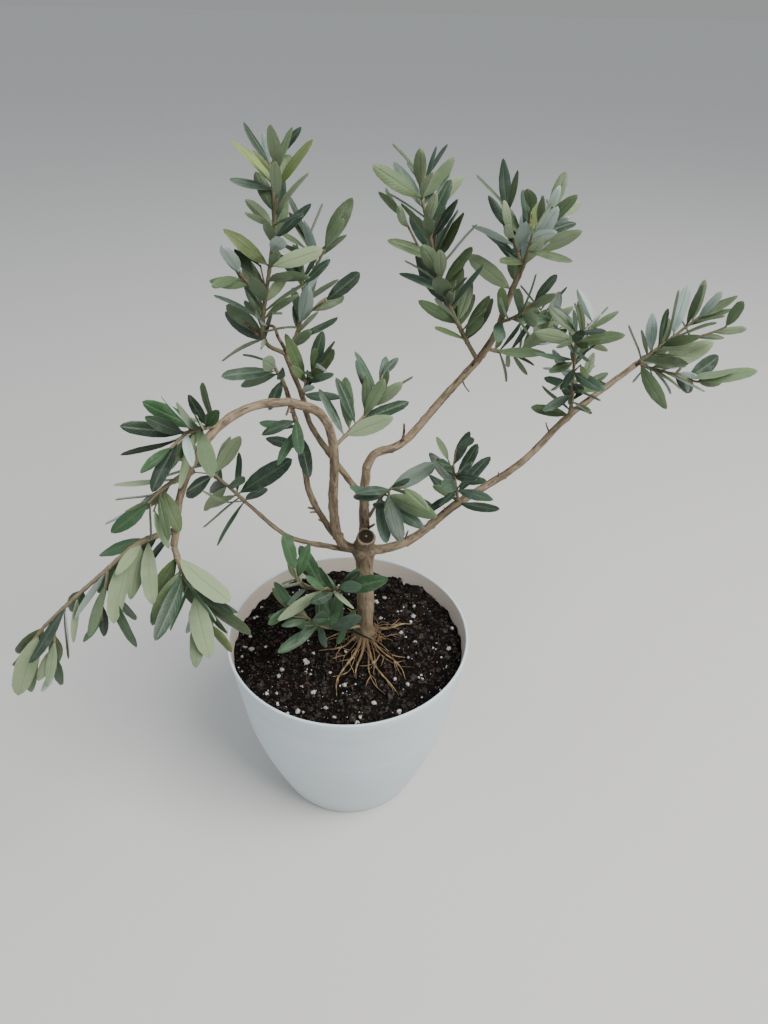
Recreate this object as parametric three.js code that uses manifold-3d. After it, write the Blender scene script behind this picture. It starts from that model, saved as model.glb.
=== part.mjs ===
// An olive bonsai in its plastic pot. Millimetres, +Z up.
// The origin is the centre of the pot's flat underside, and -Y is the side the tree is looked at from.
import * as THREE from 'three';
import { mergeVertices } from 'three/addons/utils/BufferGeometryUtils.js';
import Module from 'manifold-3d';

const wasm = await Module();
wasm.setup();

// Pot
const POT_HEIGHT = 157;
const POT_FOOT_RADIUS = 61.4;
const POT_BELLY_RADIUS = 88.6;
const POT_BELLY_HEIGHT = 95;
const POT_RIM_RADIUS = 96.8;
const POT_WALL = 2.2;
const POT_FLOOR = 3;
const POT_EDGE = 1.1;
const POT_SWELL = 1.36;
const POT_SIDES = 40;
const POT_RINGS = 4;

// Soil, mounded round the foot of the trunk
const SOIL_EDGE_HEIGHT = 142;
const SOIL_MOUND = 3;
const SOIL_FLAT_RADIUS = 14;
const SOIL_ROUGHNESS = 0.9;
const SOIL_RINGS = 4;
const TOUCH_GAP = 0.3;
const SMOOTHING = 0.02;

// Trunk, with the sawn end of the old leader in front of its fork
const TRUNK_COURSE = [[12.2, 7, 138], [12.6, 6, 150], [13.6, 4.6, 178], [13.2, 3.2, 205], [12.6, 1.6, 236]];
const TRUNK_RADIUS = 6.7;
const FLARE_RADIUS = 10.4;
const FLARE_HEIGHT = 12;
const FORK_CENTRE = [12.2, 1.5, 238];
const FORK_RADIUS = 9.2;
const STUMP_COURSE = [[11.4, 3.6, 239], [12.8, -1, 247], [14.2, -5.6, 255.5]];
const STUMP_RADIUS = 7;
const TRUNK_SIDES = 10;

// Surface roots: the way each leaves the trunk in degrees from +X, its bend, its length and its thickness
const ROOTS = [
  { name: 'root_right', heading: 34, bend: -14, length: 43, thick: [4, 1.8] },
  { name: 'root_right_low', heading: -46, bend: -8, length: 56, thick: [2.8, 1.4] },
  { name: 'root_front_right', heading: -72, bend: 4, length: 66, thick: [3.4, 1.4] },
  { name: 'root_front', heading: -93, bend: -3, length: 45, thick: [3.8, 1.6] },
  { name: 'root_front_left', heading: -112, bend: 6, length: 65, thick: [3.4, 1.4] },
  { name: 'root_left_low', heading: -145, bend: -8, length: 40, thick: [2.6, 1.4] },
  { name: 'root_left', heading: 172, bend: 12, length: 32, thick: [3, 1.4] },
  { name: 'root_back', heading: 98, bend: 14, length: 38, thick: [3.4, 1.4] },
];
const ROOT_SIDES = 5;
const ROOT_START = 5;
const ROOT_RISE = 4;
const ROOT_RISE_LENGTH = 14;
const ROOT_WIGGLE = 4;

// Boughs: the thickness of each at its start and tip, and the turning points of its course
const BOUGHS = [
  { name: 'leader', thick: [8.4, 6.6], course: [[12.4, 4, 240], [12.2, 7.5, 256], [12.2, 11, 276],
    [13.4, 16, 301]] },
  { name: 'bough_right_low', thick: [7.2, 4.2], course: [[14, 3, 236], [31, 6, 236.5], [52, 14, 242.5],
    [83, 28, 264], [129, 46, 289], [164, 62, 322], [214, 82, 357]] },
  { name: 'bough_arch_rise', thick: [7.6, 5.6], course: [[8, 0, 238], [-4.5, -5, 250], [-8.5, -12, 284],
    [-6.5, -21, 338], [-14, -27, 365], [-32, -34, 376]] },
  { name: 'bough_arch_fall', thick: [5.6, 4.6], course: [[-32, -34, 376], [-53, -42, 376], [-74, -56, 366],
    [-92, -70, 338], [-99, -84, 303]] },
  { name: 'bough_left_inner', thick: [5.2, 3.6], course: [[-3, -4, 247], [-14, -2, 262], [-27, 4, 288],
    [-31.5, 10, 326], [-40, 12, 363]] },
  { name: 'bough_left_low', thick: [4.6, 3], course: [[6, 0, 238], [-18, -5, 246], [-46, 2, 250],
    [-76, 14, 271]] },
  { name: 'bough_right_upper', thick: [6.4, 5.3], course: [[13.4, 16, 301], [20, 20.5, 310], [40, 29, 315],
    [65, 42, 341], [91, 58, 366]] },
  { name: 'bough_left_upper', thick: [5, 3.8], course: [[12, 11, 277], [-3, 16, 296], [-25, 22, 329],
    [-31, 25, 351], [-41, 28, 380]] },
  { name: 'bough_right_top', thick: [5.6, 4], course: [[91, 58, 366], [102, 62, 384], [109, 66, 407],
    [117, 68, 431]] },
];

// Masses of foliage. Each has its stem's course and thickness, its number of leaf pairs, the turn of the
// first pair about the stem, how far leaves open from it at its foot and tip, their length, its bare share,
// how far they lift against their weight, the share that show their pale side, its side twigs and their
// length, and its rule's seed.
const MASSES = [
  { name: 'shoot_top_left', color: 0x75866a, thick: [3.2, 2.1],
    course: [[-41, 28, 380], [-54, 22, 395], [-45, 16, 444], [-40, 12, 471], [-36, 9, 496]],
    pairs: 15, turn: 95, open: [68, 38], leaf: 35, bare: 0.12, lift: 0.11,
    pale: 0.35, twigs: 2, twig: 21, seed: 6729 },
  { name: 'shoot_top_middle', color: 0x647a5c, thick: [3.4, 2.1],
    course: [[-41, 28, 381], [-33, 34, 393], [-28, 40, 417], [-21, 42, 432], [-14, 40, 446]],
    pairs: 7, turn: 89, open: [70, 24], leaf: 36, bare: 0, lift: 0.38,
    pale: 0.2, twigs: 2, twig: 22, seed: 2088 },
  { name: 'tuft_top_middle', color: 0x6d8062, thick: [2.2, 2.1],
    course: [[-28, 38, 404], [-21, 34, 410], [-14, 30, 416]],
    pairs: 3, turn: 130, open: [88, 22], leaf: 35, bare: 0.23, lift: 0.33,
    pale: 0.2, twigs: 0, twig: 31, seed: 7206 },
  { name: 'tuft_left_inner', color: 0x7b8d78, thick: [3.2, 2.1],
    course: [[-40, 12, 363], [-42, 12, 369], [-44, 11, 373], [-47, 10, 382]],
    pairs: 8, turn: 115, open: [57, 9], leaf: 35, bare: 0.28, lift: -0.68,
    pale: 0.4, twigs: 0, twig: 24, seed: 9616 },
  { name: 'tuft_left_upper', color: 0x7d907c, thick: [2.4, 2.1],
    course: [[-31, 25, 351], [-28, 20, 361], [-24, 15, 371], [-19, 10, 380]],
    pairs: 8, turn: 33, open: [35, 25], leaf: 35, bare: 0.07, lift: -0.13,
    pale: 0.45, twigs: 0, twig: 21, seed: 9272 },
  { name: 'shoot_arch_crown', color: 0x6f8a74, thick: [2.8, 2.1],
    course: [[-5, -18, 338], [6, -10, 347], [18, 0, 357], [24, 6, 365]],
    pairs: 8, turn: 28, open: [66, 52], leaf: 36, bare: 0.17, lift: 0.61,
    pale: 0.3, twigs: 0, twig: 21, seed: 4405 },
  { name: 'shoot_leader_foot', color: 0x5d7b6a, thick: [2.8, 2.1],
    course: [[16, 9, 263], [21, 2, 278], [26, -6, 292], [31, -12, 301]],
    pairs: 7, turn: 3, open: [47, 44], leaf: 38, bare: 0.4, lift: -0.54,
    pale: 0.3, twigs: 0, twig: 22, seed: 4957 },
  { name: 'tuft_right_low', color: 0x4f6d55, thick: [2.4, 2.1],
    course: [[83, 28, 264], [80, 22, 279], [77, 16, 295], [75, 12, 306]],
    pairs: 6, turn: 58, open: [88, 43], leaf: 35, bare: 0, lift: 0.3,
    pale: 0.1, twigs: 0, twig: 24, seed: 3622 },
  { name: 'shoot_right_thin', color: 0x74886c, thick: [3.4, 2.1],
    course: [[91, 58, 366], [80, 62, 383], [66, 62, 410], [54, 58, 446], [46, 52, 474]],
    pairs: 13, turn: 120, open: [76, 59], leaf: 40, bare: 0.12, lift: 0.7,
    pale: 0.2, twigs: 2, twig: 40, seed: 9148 },
  { name: 'tuft_right_top_side', color: 0x7d8f74, thick: [2.4, 2.1],
    course: [[115, 68, 431], [108, 62, 448], [103, 58, 458], [101, 55, 467]],
    pairs: 9, turn: 8, open: [62, 22], leaf: 35, bare: 0.11, lift: 0.32,
    pale: 0.4, twigs: 1, twig: 25, seed: 1681 },
  { name: 'tuft_right_top', color: 0x74896b, thick: [3.8, 2.4],
    course: [[109, 66, 407], [117, 68, 431], [123, 69, 447], [130, 70, 464]],
    pairs: 10, turn: 164, open: [58, 23], leaf: 35, bare: 0.12, lift: -0.12,
    pale: 0.4, twigs: 2, twig: 37, seed: 9030 },
  { name: 'shoot_right_fork', color: 0x778b68, thick: [2.6, 2.1],
    course: [[104, 64, 392], [111, 58, 397], [119, 54, 404], [127, 50, 414]],
    pairs: 7, turn: 84, open: [59, 13], leaf: 35, bare: 0.09, lift: -0.03,
    pale: 0.3, twigs: 0, twig: 29, seed: 2073 },
  { name: 'shoot_right_middle', color: 0x758a66, thick: [3, 2.1],
    course: [[96, 60, 374], [116, 72, 367], [132, 82, 368], [158, 98, 370]],
    pairs: 7, turn: 103, open: [51, 34], leaf: 36, bare: 0.13, lift: 0.48,
    pale: 0.2, twigs: 2, twig: 29, seed: 3525 },
  { name: 'shoot_right_upright', color: 0x7d9078, thick: [2.8, 2.1],
    course: [[164, 62, 322], [164, 62, 336], [158, 54, 373], [156, 50, 391]],
    pairs: 10, turn: 1, open: [51, 47], leaf: 35, bare: 0.04, lift: -0.4,
    pale: 0.35, twigs: 1, twig: 30, seed: 8680 },
  { name: 'shoot_right_end', color: 0x86977c, thick: [3.6, 2.1],
    course: [[214, 82, 357], [232, 86, 371], [244, 88, 382], [252, 88, 390]],
    pairs: 12, turn: 68, open: [82, 39], leaf: 35, bare: 0.03, lift: 0.38,
    pale: 0.5, twigs: 1, twig: 39, seed: 6702 },
  { name: 'shoot_right_end_low', color: 0x8c9c84, thick: [2.8, 2.1],
    course: [[214, 82, 357], [225, 86, 351], [236, 88, 348], [254, 92, 341], [266, 92, 338]],
    pairs: 6, turn: 61, open: [35, 26], leaf: 45, bare: 0.04, lift: 0.13,
    pale: 0.6, twigs: 0, twig: 22, seed: 8348 },
  { name: 'shoot_arch_left', color: 0x8b9a80, thick: [3, 2.1],
    course: [[-72, -54, 370], [-83, -70, 374], [-86, -77, 374], [-90, -84, 372]],
    pairs: 14, turn: 113, open: [74, 18], leaf: 35, bare: 0, lift: -0.05,
    pale: 0.6, twigs: 0, twig: 31, seed: 8735 },
  { name: 'shoot_arch_left_low', color: 0x8f9d84, thick: [3, 2.1],
    course: [[-88, -66, 347], [-96, -76, 344], [-101, -84, 343], [-105, -92, 341]],
    pairs: 6, turn: 17, open: [83, 57], leaf: 36, bare: 0.37, lift: -0.69,
    pale: 0.5, twigs: 0, twig: 32, seed: 6060 },
  { name: 'shoot_weeping_long', color: 0x8b9878, thick: [3.4, 2.1],
    course: [[-99, -80, 312], [-115, -94, 313], [-135, -104, 299], [-158, -112, 280],
      [-175, -116, 264], [-197, -120, 238]],
    pairs: 11, turn: 72, open: [45, 14], leaf: 42, bare: 0.01, lift: -0.9,
    pale: 0.6, twigs: 2, twig: 26, seed: 4643 },
  { name: 'shoot_weeping_short', color: 0x8e9b7c, thick: [4.2, 2.1],
    course: [[-99, -84, 303], [-95, -90, 293], [-90, -94, 282], [-83, -96, 265]],
    pairs: 11, turn: 168, open: [62, 60], leaf: 41, bare: 0.13, lift: -0.44,
    pale: 0.6, twigs: 0, twig: 34, seed: 6368 },
  { name: 'tuft_left_low', color: 0x71846c, thick: [2.8, 2.1],
    course: [[-76, 14, 271], [-95, 18, 289], [-105, 20, 297]],
    pairs: 5, turn: 103, open: [63, 44], leaf: 41, bare: 0, lift: -0.62,
    pale: 0.2, twigs: 0, twig: 29, seed: 6273 },
  { name: 'tuft_left_inner_low', color: 0x5f775c, thick: [2.2, 2.1],
    course: [[-30, 8, 308], [-31, 4, 332], [-33, 0, 347]],
    pairs: 4, turn: 194, open: [52, 70], leaf: 35, bare: 0.4, lift: -0.49,
    pale: 0.1, twigs: 0, twig: 24, seed: 7006 },
  { name: 'shoot_trunk_upper', color: 0x6f8f6c, thick: [4, 2.1],
    course: [[13, 3, 205], [-3, -12, 212], [-24, -26, 222], [-33, -31, 231], [-35, -33, 245]],
    pairs: 3, turn: 69, open: [88, 26], leaf: 43, bare: 0.17, lift: 0.39,
    pale: 0.25, twigs: 2, twig: 16, seed: 7395 },
  { name: 'shoot_trunk_low', color: 0x6a8f70, thick: [3, 2.1],
    course: [[13, 5, 157], [-4, -12, 170], [-21, -26, 186], [-37, -38, 216]],
    pairs: 7, turn: 61, open: [88, 60], leaf: 35, bare: 0.25, lift: 0.1,
    pale: 0.25, twigs: 0, twig: 30, seed: 5843 },
];

// The growing rule: leaves in crossed pairs, and side twigs at the golden angle
const PAIR_TURN = 90;
const PAIR_TURN_RANGE = 22;
const PAIR_SHIFT = 0.3;
const LEAF_TURN_RANGE = 24;
const LEAF_OPEN_RANGE = 17;
const LEAF_SIZE_RANGE = 0.2;
const LEAF_TIP_SHRINK = 0.18;
const LEAF_WIDTH = 0.32;
const LEAF_WIDTH_RANGE = 0.06;
const LEAF_BEND = 0.05;
const LEAF_BEND_RANGE = 0.09;
const LEAF_ROLL_RANGE = 34;
const LEAF_LIGHT = 1.1;
const LEAF_FALL = 0.1;
const LEAF_THICKNESS = 0.9;
const STALK_THICKNESS = 0.6;
const LEAF_OUTLINE = [[0, 0.04], [0.32, 0.5], [0.74, 0.44], [1, 0]];
const TWIG_PLACES = [0.25, 0.85];
const TWIG_TURN = 137;
const TWIG_TURN_RANGE = 60;
const TWIG_LENGTH_RANGE = 0.25;
const TWIG_OPEN = 48;
const TWIG_OPEN_RANGE = 14;
const TWIG_PAIRS = 3;
const TWIG_BARE = 0.35;
const TWIG_LEAF = 0.82;
const TWIG_LEAF_TURN = 60;
const TWIG_RISE = 0.12;
const TWIG_THICKNESS = 2.1;
const LEAF_CLEARANCE = 3.2;
const LEAF_SPACING = 2.6;
const WOOD_MARK_STEP = 2.5;
const LEAF_MARKS = 8;
const LEAF_MARK_SHARES = [0.16, 0.12];
const WOOD_CLEARANCE = 1.4;
const STEPS_PER_BEND = 8;
const BOUGH_SIDES = 6;
const BOUGH_STEP = 10;
const STEM_SIDES = 3;
const STEM_STEP = 18;
const STEM_SWELL = 1.35;

const FRONT = new THREE.Vector3(0, -1, 0);
const UP = new THREE.Vector3(0, 0, 1);
const LIGHT = new THREE.Vector3(0.05, -0.62, 0.78);
const { degToRad, lerp, clamp } = THREE.MathUtils;
const point = ([x, y, z]) => new THREE.Vector3(x, y, z);

// A repeatable stream of numbers from 0 to 1
function seeded(seed) {
  let state = seed;
  return () => {
    state = (state + 0x6d2b79f5) | 0;
    let t = Math.imul(state ^ (state >>> 15), 1 | state);
    t = (t + Math.imul(t ^ (t >>> 7), 61 | t)) ^ t;
    return ((t ^ (t >>> 14)) >>> 0) / 4294967296;
  };
}

// A smooth course through a few turning points, measured along its length
class Course {
  constructor(points, toward = FRONT) {
    this.toward = toward;
    this.line = new THREE.CatmullRomCurve3(points, false, 'catmullrom', 0.5)
      .getPoints(STEPS_PER_BEND * (points.length - 1));
    this.at = [0];
    for (let i = 1; i < this.line.length; i += 1) {
      this.at.push(this.at[i - 1] + this.line[i].distanceTo(this.line[i - 1]));
    }
    this.length = this.at.at(-1);
  }

  // The place at a distance from the start, the way the course heads there, and two directions square to it
  frame(distance) {
    let i = 1;
    while (i < this.line.length - 1 && this.at[i] < distance) i += 1;
    const heading = this.line[i].clone().sub(this.line[i - 1]).normalize();
    const centre = this.line[i - 1].clone().addScaledVector(heading, distance - this.at[i - 1]);
    const across = heading.clone().cross(this.toward).normalize();
    const up = across.clone().cross(heading);
    return { centre, heading, across, up };
  }
}

// A direction leaned from a heading by an angle, in the plane that a turn about the heading picks
function lean({ heading, across, up }, turn, open) {
  const out = across.clone().multiplyScalar(Math.cos(turn)).addScaledVector(up, Math.sin(turn));
  return heading.clone().multiplyScalar(Math.cos(open)).addScaledVector(out, Math.sin(open));
}

// The leaves of a stem: each has a foot, an aim, the way its upper face looks, and its sizes
function growLeaves(stem, plan, random) {
  const either = (range) => (2 * random() - 1) * range;
  const leaves = [];
  const gaps = Math.max(plan.pairs - 1, 1);
  for (let pair = 0; pair < plan.pairs; pair += 1) {
    const rank = pair / gaps;
    const place = plan.bare + (1 - plan.bare) * (pair + either(PAIR_SHIFT)) / gaps;
    const frame = stem.frame(clamp(place, 0, 1) * stem.length);
    const pairTurn = plan.turn + PAIR_TURN * pair + either(PAIR_TURN_RANGE);
    for (const side of [0, 180]) {
      const turn = degToRad(pairTurn + side + either(LEAF_TURN_RANGE));
      const open = degToRad(lerp(plan.open[0], plan.open[1], rank) + either(LEAF_OPEN_RANGE));
      const size = plan.leaf * (1 - LEAF_TIP_SHRINK * rank * rank) * (1 + either(LEAF_SIZE_RANGE));
      const width = size * (LEAF_WIDTH + either(LEAF_WIDTH_RANGE));
      const bend = LEAF_BEND + either(LEAF_BEND_RANGE);
      const roll = degToRad(either(LEAF_ROLL_RANGE));
      const kept = random() > LEAF_FALL;
      const shown = random() < plan.pale ? -LEAF_LIGHT : LEAF_LIGHT;
      const aim = lean(frame, turn, open).addScaledVector(UP, plan.lift).normalize();
      const inward = frame.heading.clone().addScaledVector(aim, -frame.heading.dot(aim)).normalize();
      const sky = LIGHT.clone().addScaledVector(aim, -LIGHT.dot(aim));
      const level = inward.addScaledVector(sky, shown).normalize();
      const face = level.clone().multiplyScalar(Math.cos(roll))
        .addScaledVector(aim.clone().cross(level), Math.sin(roll));
      if (kept) leaves.push({ foot: frame.centre, aim, face, size, width, bend });
    }
  }
  return leaves;
}

// The stems of a mass, each with its leaves: the one that meets the bough, then its side twigs
function growMass(plan) {
  const random = seeded(plan.seed);
  const either = (range) => (2 * random() - 1) * range;
  const main = new Course(plan.course.map(point));
  const stems = [{ course: main, thick: plan.thick, leaves: growLeaves(main, plan, random) }];
  for (let i = 0; i < plan.twigs; i += 1) {
    const frame = main.frame(lerp(...TWIG_PLACES, (i + random()) / plan.twigs) * main.length);
    const turn = degToRad(plan.turn + TWIG_TURN * i + either(TWIG_TURN_RANGE));
    const open = degToRad(TWIG_OPEN + either(TWIG_OPEN_RANGE));
    const length = plan.twig * (0.9 + either(TWIG_LENGTH_RANGE));
    const aim = lean(frame, turn, open).addScaledVector(UP, plan.lift).normalize();
    const middle = frame.centre.clone().addScaledVector(aim, length / 2);
    const end = frame.centre.clone().addScaledVector(aim, length).addScaledVector(UP, TWIG_RISE * length);
    const course = new Course([frame.centre, middle, end]);
    const young = { ...plan, pairs: TWIG_PAIRS, bare: TWIG_BARE, leaf: plan.leaf * TWIG_LEAF };
    young.turn = plan.turn + TWIG_LEAF_TURN * i;
    const thick = [TWIG_THICKNESS, TWIG_THICKNESS];
    stems.push({ course, thick, leaves: growLeaves(course, young, random) });
  }
  return stems;
}

// Half the width of a leaf at a share of its length
function halfWidth(leaf, share) {
  const after = LEAF_OUTLINE.findIndex(([s]) => s > share);
  if (after < 0) return 0;
  const [s0, w0] = LEAF_OUTLINE[after - 1];
  const [s1, w1] = LEAF_OUTLINE[after];
  return leaf.width * lerp(w0, w1, (share - s0) / (s1 - s0));
}

// A place on a leaf: a share of its length, and distances to the side and off its face
function onLeaf(leaf, share, side, off) {
  return leaf.foot.clone().addScaledVector(leaf.aim, leaf.size * share)
    .addScaledVector(leaf.face, off - leaf.bend * leaf.size * share * share)
    .addScaledVector(leaf.aim.clone().cross(leaf.face), side);
}

// What has grown, as balls along the wood and the blades, so that what grows later can keep clear of it
const grown = [];

function woodMarks(course, thick) {
  const marks = [];
  for (let distance = 0; distance <= course.length; distance += WOOD_MARK_STEP) {
    const radius = lerp(thick[0], thick[1], distance / course.length) / 2;
    marks.push({ centre: course.frame(distance).centre, reach: radius + WOOD_CLEARANCE });
  }
  return marks;
}

function leafMarks(leaf) {
  const marks = [];
  const [first, step] = LEAF_MARK_SHARES;
  for (let i = 0; i < LEAF_MARKS; i += 1) {
    const share = first + step * i;
    for (const side of [-0.8, 0, 0.8]) {
      const centre = onLeaf(leaf, share, side * halfWidth(leaf, share), 0);
      marks.push({ centre, reach: LEAF_CLEARANCE, blade: true });
    }
  }
  return marks;
}

function keep(owner, marks) {
  marks.forEach((mark) => grown.push({ ...mark, owner }));
}

// Whether marks reach into another mass, the wood, the pot or the soil, or a blade's into another of its mass
function meets(owner, marks) {
  return marks.some(({ centre, blade: ownBlade }) => {
    const overPot = Math.hypot(centre.x, centre.y) < POT_RIM_RADIUS + LEAF_CLEARANCE;
    if (overPot && centre.z < POT_HEIGHT + LEAF_CLEARANCE) return true;
    return grown.some((ball) => {
      const own = ownBlade && ball.blade ? LEAF_SPACING : 0;
      return ball.centre.distanceTo(centre) < (ball.owner === owner ? own : ball.reach);
    });
  });
}

// Solids: three.js gives the shapes, and manifold-3d joins and cuts them
function solid(geometry) {
  const { index, attributes } = geometry;
  const corners = [];
  for (let i = 0; i < index.count; i += 3) {
    const [a, b, c] = [index.getX(i), index.getX(i + 1), index.getX(i + 2)];
    if (a !== b && b !== c && c !== a) corners.push(a, b, c);
  }
  const vertProperties = new Float32Array(attributes.position.array);
  const triVerts = new Uint32Array(corners);
  return new wasm.Manifold(new wasm.Mesh({ numProp: 3, vertProperties, triVerts }));
}

// A form turned on a lathe, standing along +Y from [radius, height] pairs, each point put in its place
function turned(profile, sides, place) {
  const outline = profile.map(([radius, height]) => new THREE.Vector2(radius, height));
  const lathe = new THREE.LatheGeometry(outline, sides);
  lathe.deleteAttribute('normal');
  lathe.deleteAttribute('uv');
  const geometry = mergeVertices(lathe, 1e-4);
  const position = geometry.attributes.position;
  for (let i = 0; i < position.count; i += 1) {
    const placed = place(position.getX(i), position.getY(i), position.getZ(i));
    position.setXYZ(i, placed.x, placed.y, placed.z);
  }
  return solid(geometry);
}

const upright = (x, y, z) => new THREE.Vector3(x, -z, y);

// A round limb along a course, its radius given by the share of its length
function limb(course, radiusAt, sides, steps) {
  const profile = [[0, 0]];
  for (let i = 0; i <= steps; i += 1) profile.push([radiusAt(i / steps), course.length * i / steps]);
  profile.push([0, course.length]);
  return turned(profile, sides, (x, y, z) => {
    const { centre, across, up } = course.frame(y);
    return centre.addScaledVector(across, x).addScaledVector(up, z);
  });
}

const taper = ([start, end], grow = 0) => (share) => lerp(start, end, share) / 2 + grow;

// A stem is three-sided, and a little wider across its corners than its thickness
const stemTaper = ([start, end], grow = 0) => taper([start * STEM_SWELL, end * STEM_SWELL], grow);
const stemSteps = (course) => Math.max(Math.round(course.length / STEM_STEP), 2);

// A leaf: a thin blade, three-sided across, with its midrib as a ridge below
function blade(leaf) {
  const profile = [[0, 0], ...LEAF_OUTLINE.map(([share, half]) => [half * leaf.width, share * leaf.size])];
  return turned(profile, 3, (x, y, z) => {
    const share = y / leaf.size;
    const half = halfWidth(leaf, share);
    const thickness = share > 0 ? LEAF_THICKNESS : STALK_THICKNESS;
    const off = half > 0 ? (1 / 3 - 2 * z / (3 * half)) * thickness : 0;
    return onLeaf(leaf, share, -x / Math.sin(Math.PI / 3), off);
  });
}

// The largest whole piece: loose scraps drop, and a hollow that joining sealed is filled
function largest(shape) {
  return shape.decompose().reduce((a, b) => (b.volume() > a.volume() ? b : a));
}

// Pot: a shell that swells to its belly and then widens straight to the rim
function potRadius(height) {
  const share = height / POT_BELLY_HEIGHT;
  const swell = POT_FOOT_RADIUS + (POT_BELLY_RADIUS - POT_FOOT_RADIUS) * (1 - (1 - share) ** POT_SWELL);
  const rise = (height - POT_BELLY_HEIGHT) / (POT_HEIGHT - POT_BELLY_HEIGHT);
  return share < 1 ? swell : lerp(POT_BELLY_RADIUS, POT_RIM_RADIUS, rise);
}

function pot() {
  const profile = [[0, 0], [POT_FOOT_RADIUS - POT_EDGE, 0], [POT_FOOT_RADIUS, POT_EDGE]];
  const heights = [];
  for (let i = 1; i <= POT_RINGS; i += 1) heights.push(POT_BELLY_HEIGHT * (i / POT_RINGS));
  heights.forEach((height) => profile.push([potRadius(height), height]));
  profile.push([POT_RIM_RADIUS, POT_HEIGHT - POT_EDGE], [POT_RIM_RADIUS - POT_EDGE, POT_HEIGHT]);
  profile.push([POT_RIM_RADIUS - POT_WALL, POT_HEIGHT - POT_EDGE]);
  heights.reverse().forEach((height) => profile.push([potRadius(height) - POT_WALL, height]));
  profile.push([potRadius(POT_FLOOR) - POT_WALL, POT_FLOOR], [0, POT_FLOOR]);
  return turned(profile, POT_SIDES, upright);
}

// Soil: it fills the pot, flat where the trunk stands and a little rough beyond
function soilHeight(x, y) {
  const [footX, footY] = TRUNK_COURSE[0];
  const away = Math.max(Math.hypot(x - footX, y - footY) - SOIL_FLAT_RADIUS, 0);
  const rough = SOIL_ROUGHNESS * Math.sin(0.23 * x + 1) * Math.sin(0.19 * y) * Math.min(away / 20, 1);
  return SOIL_EDGE_HEIGHT + SOIL_MOUND * Math.max(1 - away / 60, 0) ** 2 + rough;
}

function soil() {
  const inner = (height) => potRadius(height) - POT_WALL - TOUCH_GAP;
  const low = POT_FLOOR + TOUCH_GAP;
  const edge = SOIL_EDGE_HEIGHT - SOIL_ROUGHNESS - TOUCH_GAP;
  const profile = [[0, low], [inner(low) - POT_EDGE, low]];
  for (let i = 1; i <= POT_RINGS; i += 1) {
    const height = POT_BELLY_HEIGHT * (i / POT_RINGS);
    profile.push([inner(height), height]);
  }
  profile.push([inner(edge), edge]);
  for (let i = SOIL_RINGS - 1; i >= 0; i -= 1) profile.push([inner(edge) * (i / SOIL_RINGS), edge + 1]);
  return turned(profile, POT_SIDES, (x, y, z) => {
    const placed = upright(x, y, z);
    if (placed.z > edge) placed.z = soilHeight(placed.x, placed.y);
    return placed;
  });
}

// Trunk: a taper with its root flare, the swollen fork, and the sawn stump leaning out of it
function trunk(grow) {
  const course = new Course(TRUNK_COURSE.map(point));
  const radiusAt = (share) => {
    const above = share * course.length - (SOIL_EDGE_HEIGHT + SOIL_MOUND - TRUNK_COURSE[0][2]);
    const flare = Math.max(1 - Math.max(above, 0) / FLARE_HEIGHT, 0);
    return TRUNK_RADIUS + (FLARE_RADIUS - TRUNK_RADIUS) * flare * flare + grow;
  };
  const stem = limb(course, radiusAt, TRUNK_SIDES, 18);
  const ring = (angle) => [FORK_RADIUS * Math.sin(angle), -FORK_RADIUS * Math.cos(angle)];
  const arc = [0, 30, 60, 90, 120, 150, 180].map((angle) => ring(degToRad(angle)));
  const swell = (FORK_RADIUS + grow) / FORK_RADIUS;
  const centre = point(FORK_CENTRE);
  const fork = turned(arc, TRUNK_SIDES, (x, y, z) => upright(x, y, z).multiplyScalar(swell).add(centre));
  const stump = limb(new Course(STUMP_COURSE.map(point)), () => STUMP_RADIUS + grow, TRUNK_SIDES, 3);
  return wasm.Manifold.union([stem, fork, stump]);
}

// A surface root: it slopes off the flare and then runs half sunk in the soil
function root({ heading, bend, length, thick }, grow) {
  const [footX, footY] = TRUNK_COURSE[1];
  const points = [];
  for (let i = 0; i <= 5; i += 1) {
    const share = i / 5;
    const angle = degToRad(heading + bend * share * share + ROOT_WIGGLE * Math.sin(5 * share + heading));
    const away = lerp(ROOT_START, length, share);
    const x = footX + away * Math.cos(angle);
    const y = footY + away * Math.sin(angle);
    const slope = Math.max(1 - (away - ROOT_START) / ROOT_RISE_LENGTH, 0) * ROOT_RISE;
    points.push(new THREE.Vector3(x, y, soilHeight(x, y) + slope));
  }
  return limb(new Course(points, UP), taper(thick, grow), ROOT_SIDES, 6);
}

const model = new THREE.Group();

function show(name, shape, color, roughness) {
  const { vertProperties, triVerts } = shape.simplify(SMOOTHING).getMesh();
  const geometry = new THREE.BufferGeometry();
  geometry.setAttribute('position', new THREE.BufferAttribute(vertProperties, 3));
  geometry.setIndex(new THREE.BufferAttribute(triVerts, 1));
  geometry.computeVertexNormals();
  const mesh = new THREE.Mesh(geometry, new THREE.MeshStandardMaterial({ color, roughness, metalness: 0 }));
  mesh.name = name;
  model.add(mesh);
}

const GROUND = SOIL_EDGE_HEIGHT + SOIL_MOUND + TOUCH_GAP;
const trunkSolid = trunk(0).trimByPlane([0, 0, 1], GROUND);
const wood = [trunk(TOUCH_GAP)];

// Each bough is cut back from the wood that it grows on
const boughs = BOUGHS.map(({ name, thick, course }) => {
  const way = new Course(course.map(point));
  const steps = Math.round(way.length / BOUGH_STEP);
  const shape = largest(limb(way, taper(thick), BOUGH_SIDES, steps).subtract(wasm.Manifold.union(wood)));
  wood.push(limb(way, taper(thick, TOUCH_GAP), BOUGH_SIDES, steps));
  keep('wood', woodMarks(way, thick));
  return { name, shape };
});
keep('wood', woodMarks(new Course(TRUNK_COURSE.map(point)), [2 * TRUNK_RADIUS, 2 * FORK_RADIUS]));
keep('wood', woodMarks(new Course(STUMP_COURSE.map(point)), [2 * STUMP_RADIUS, 2 * STUMP_RADIUS]));

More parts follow.
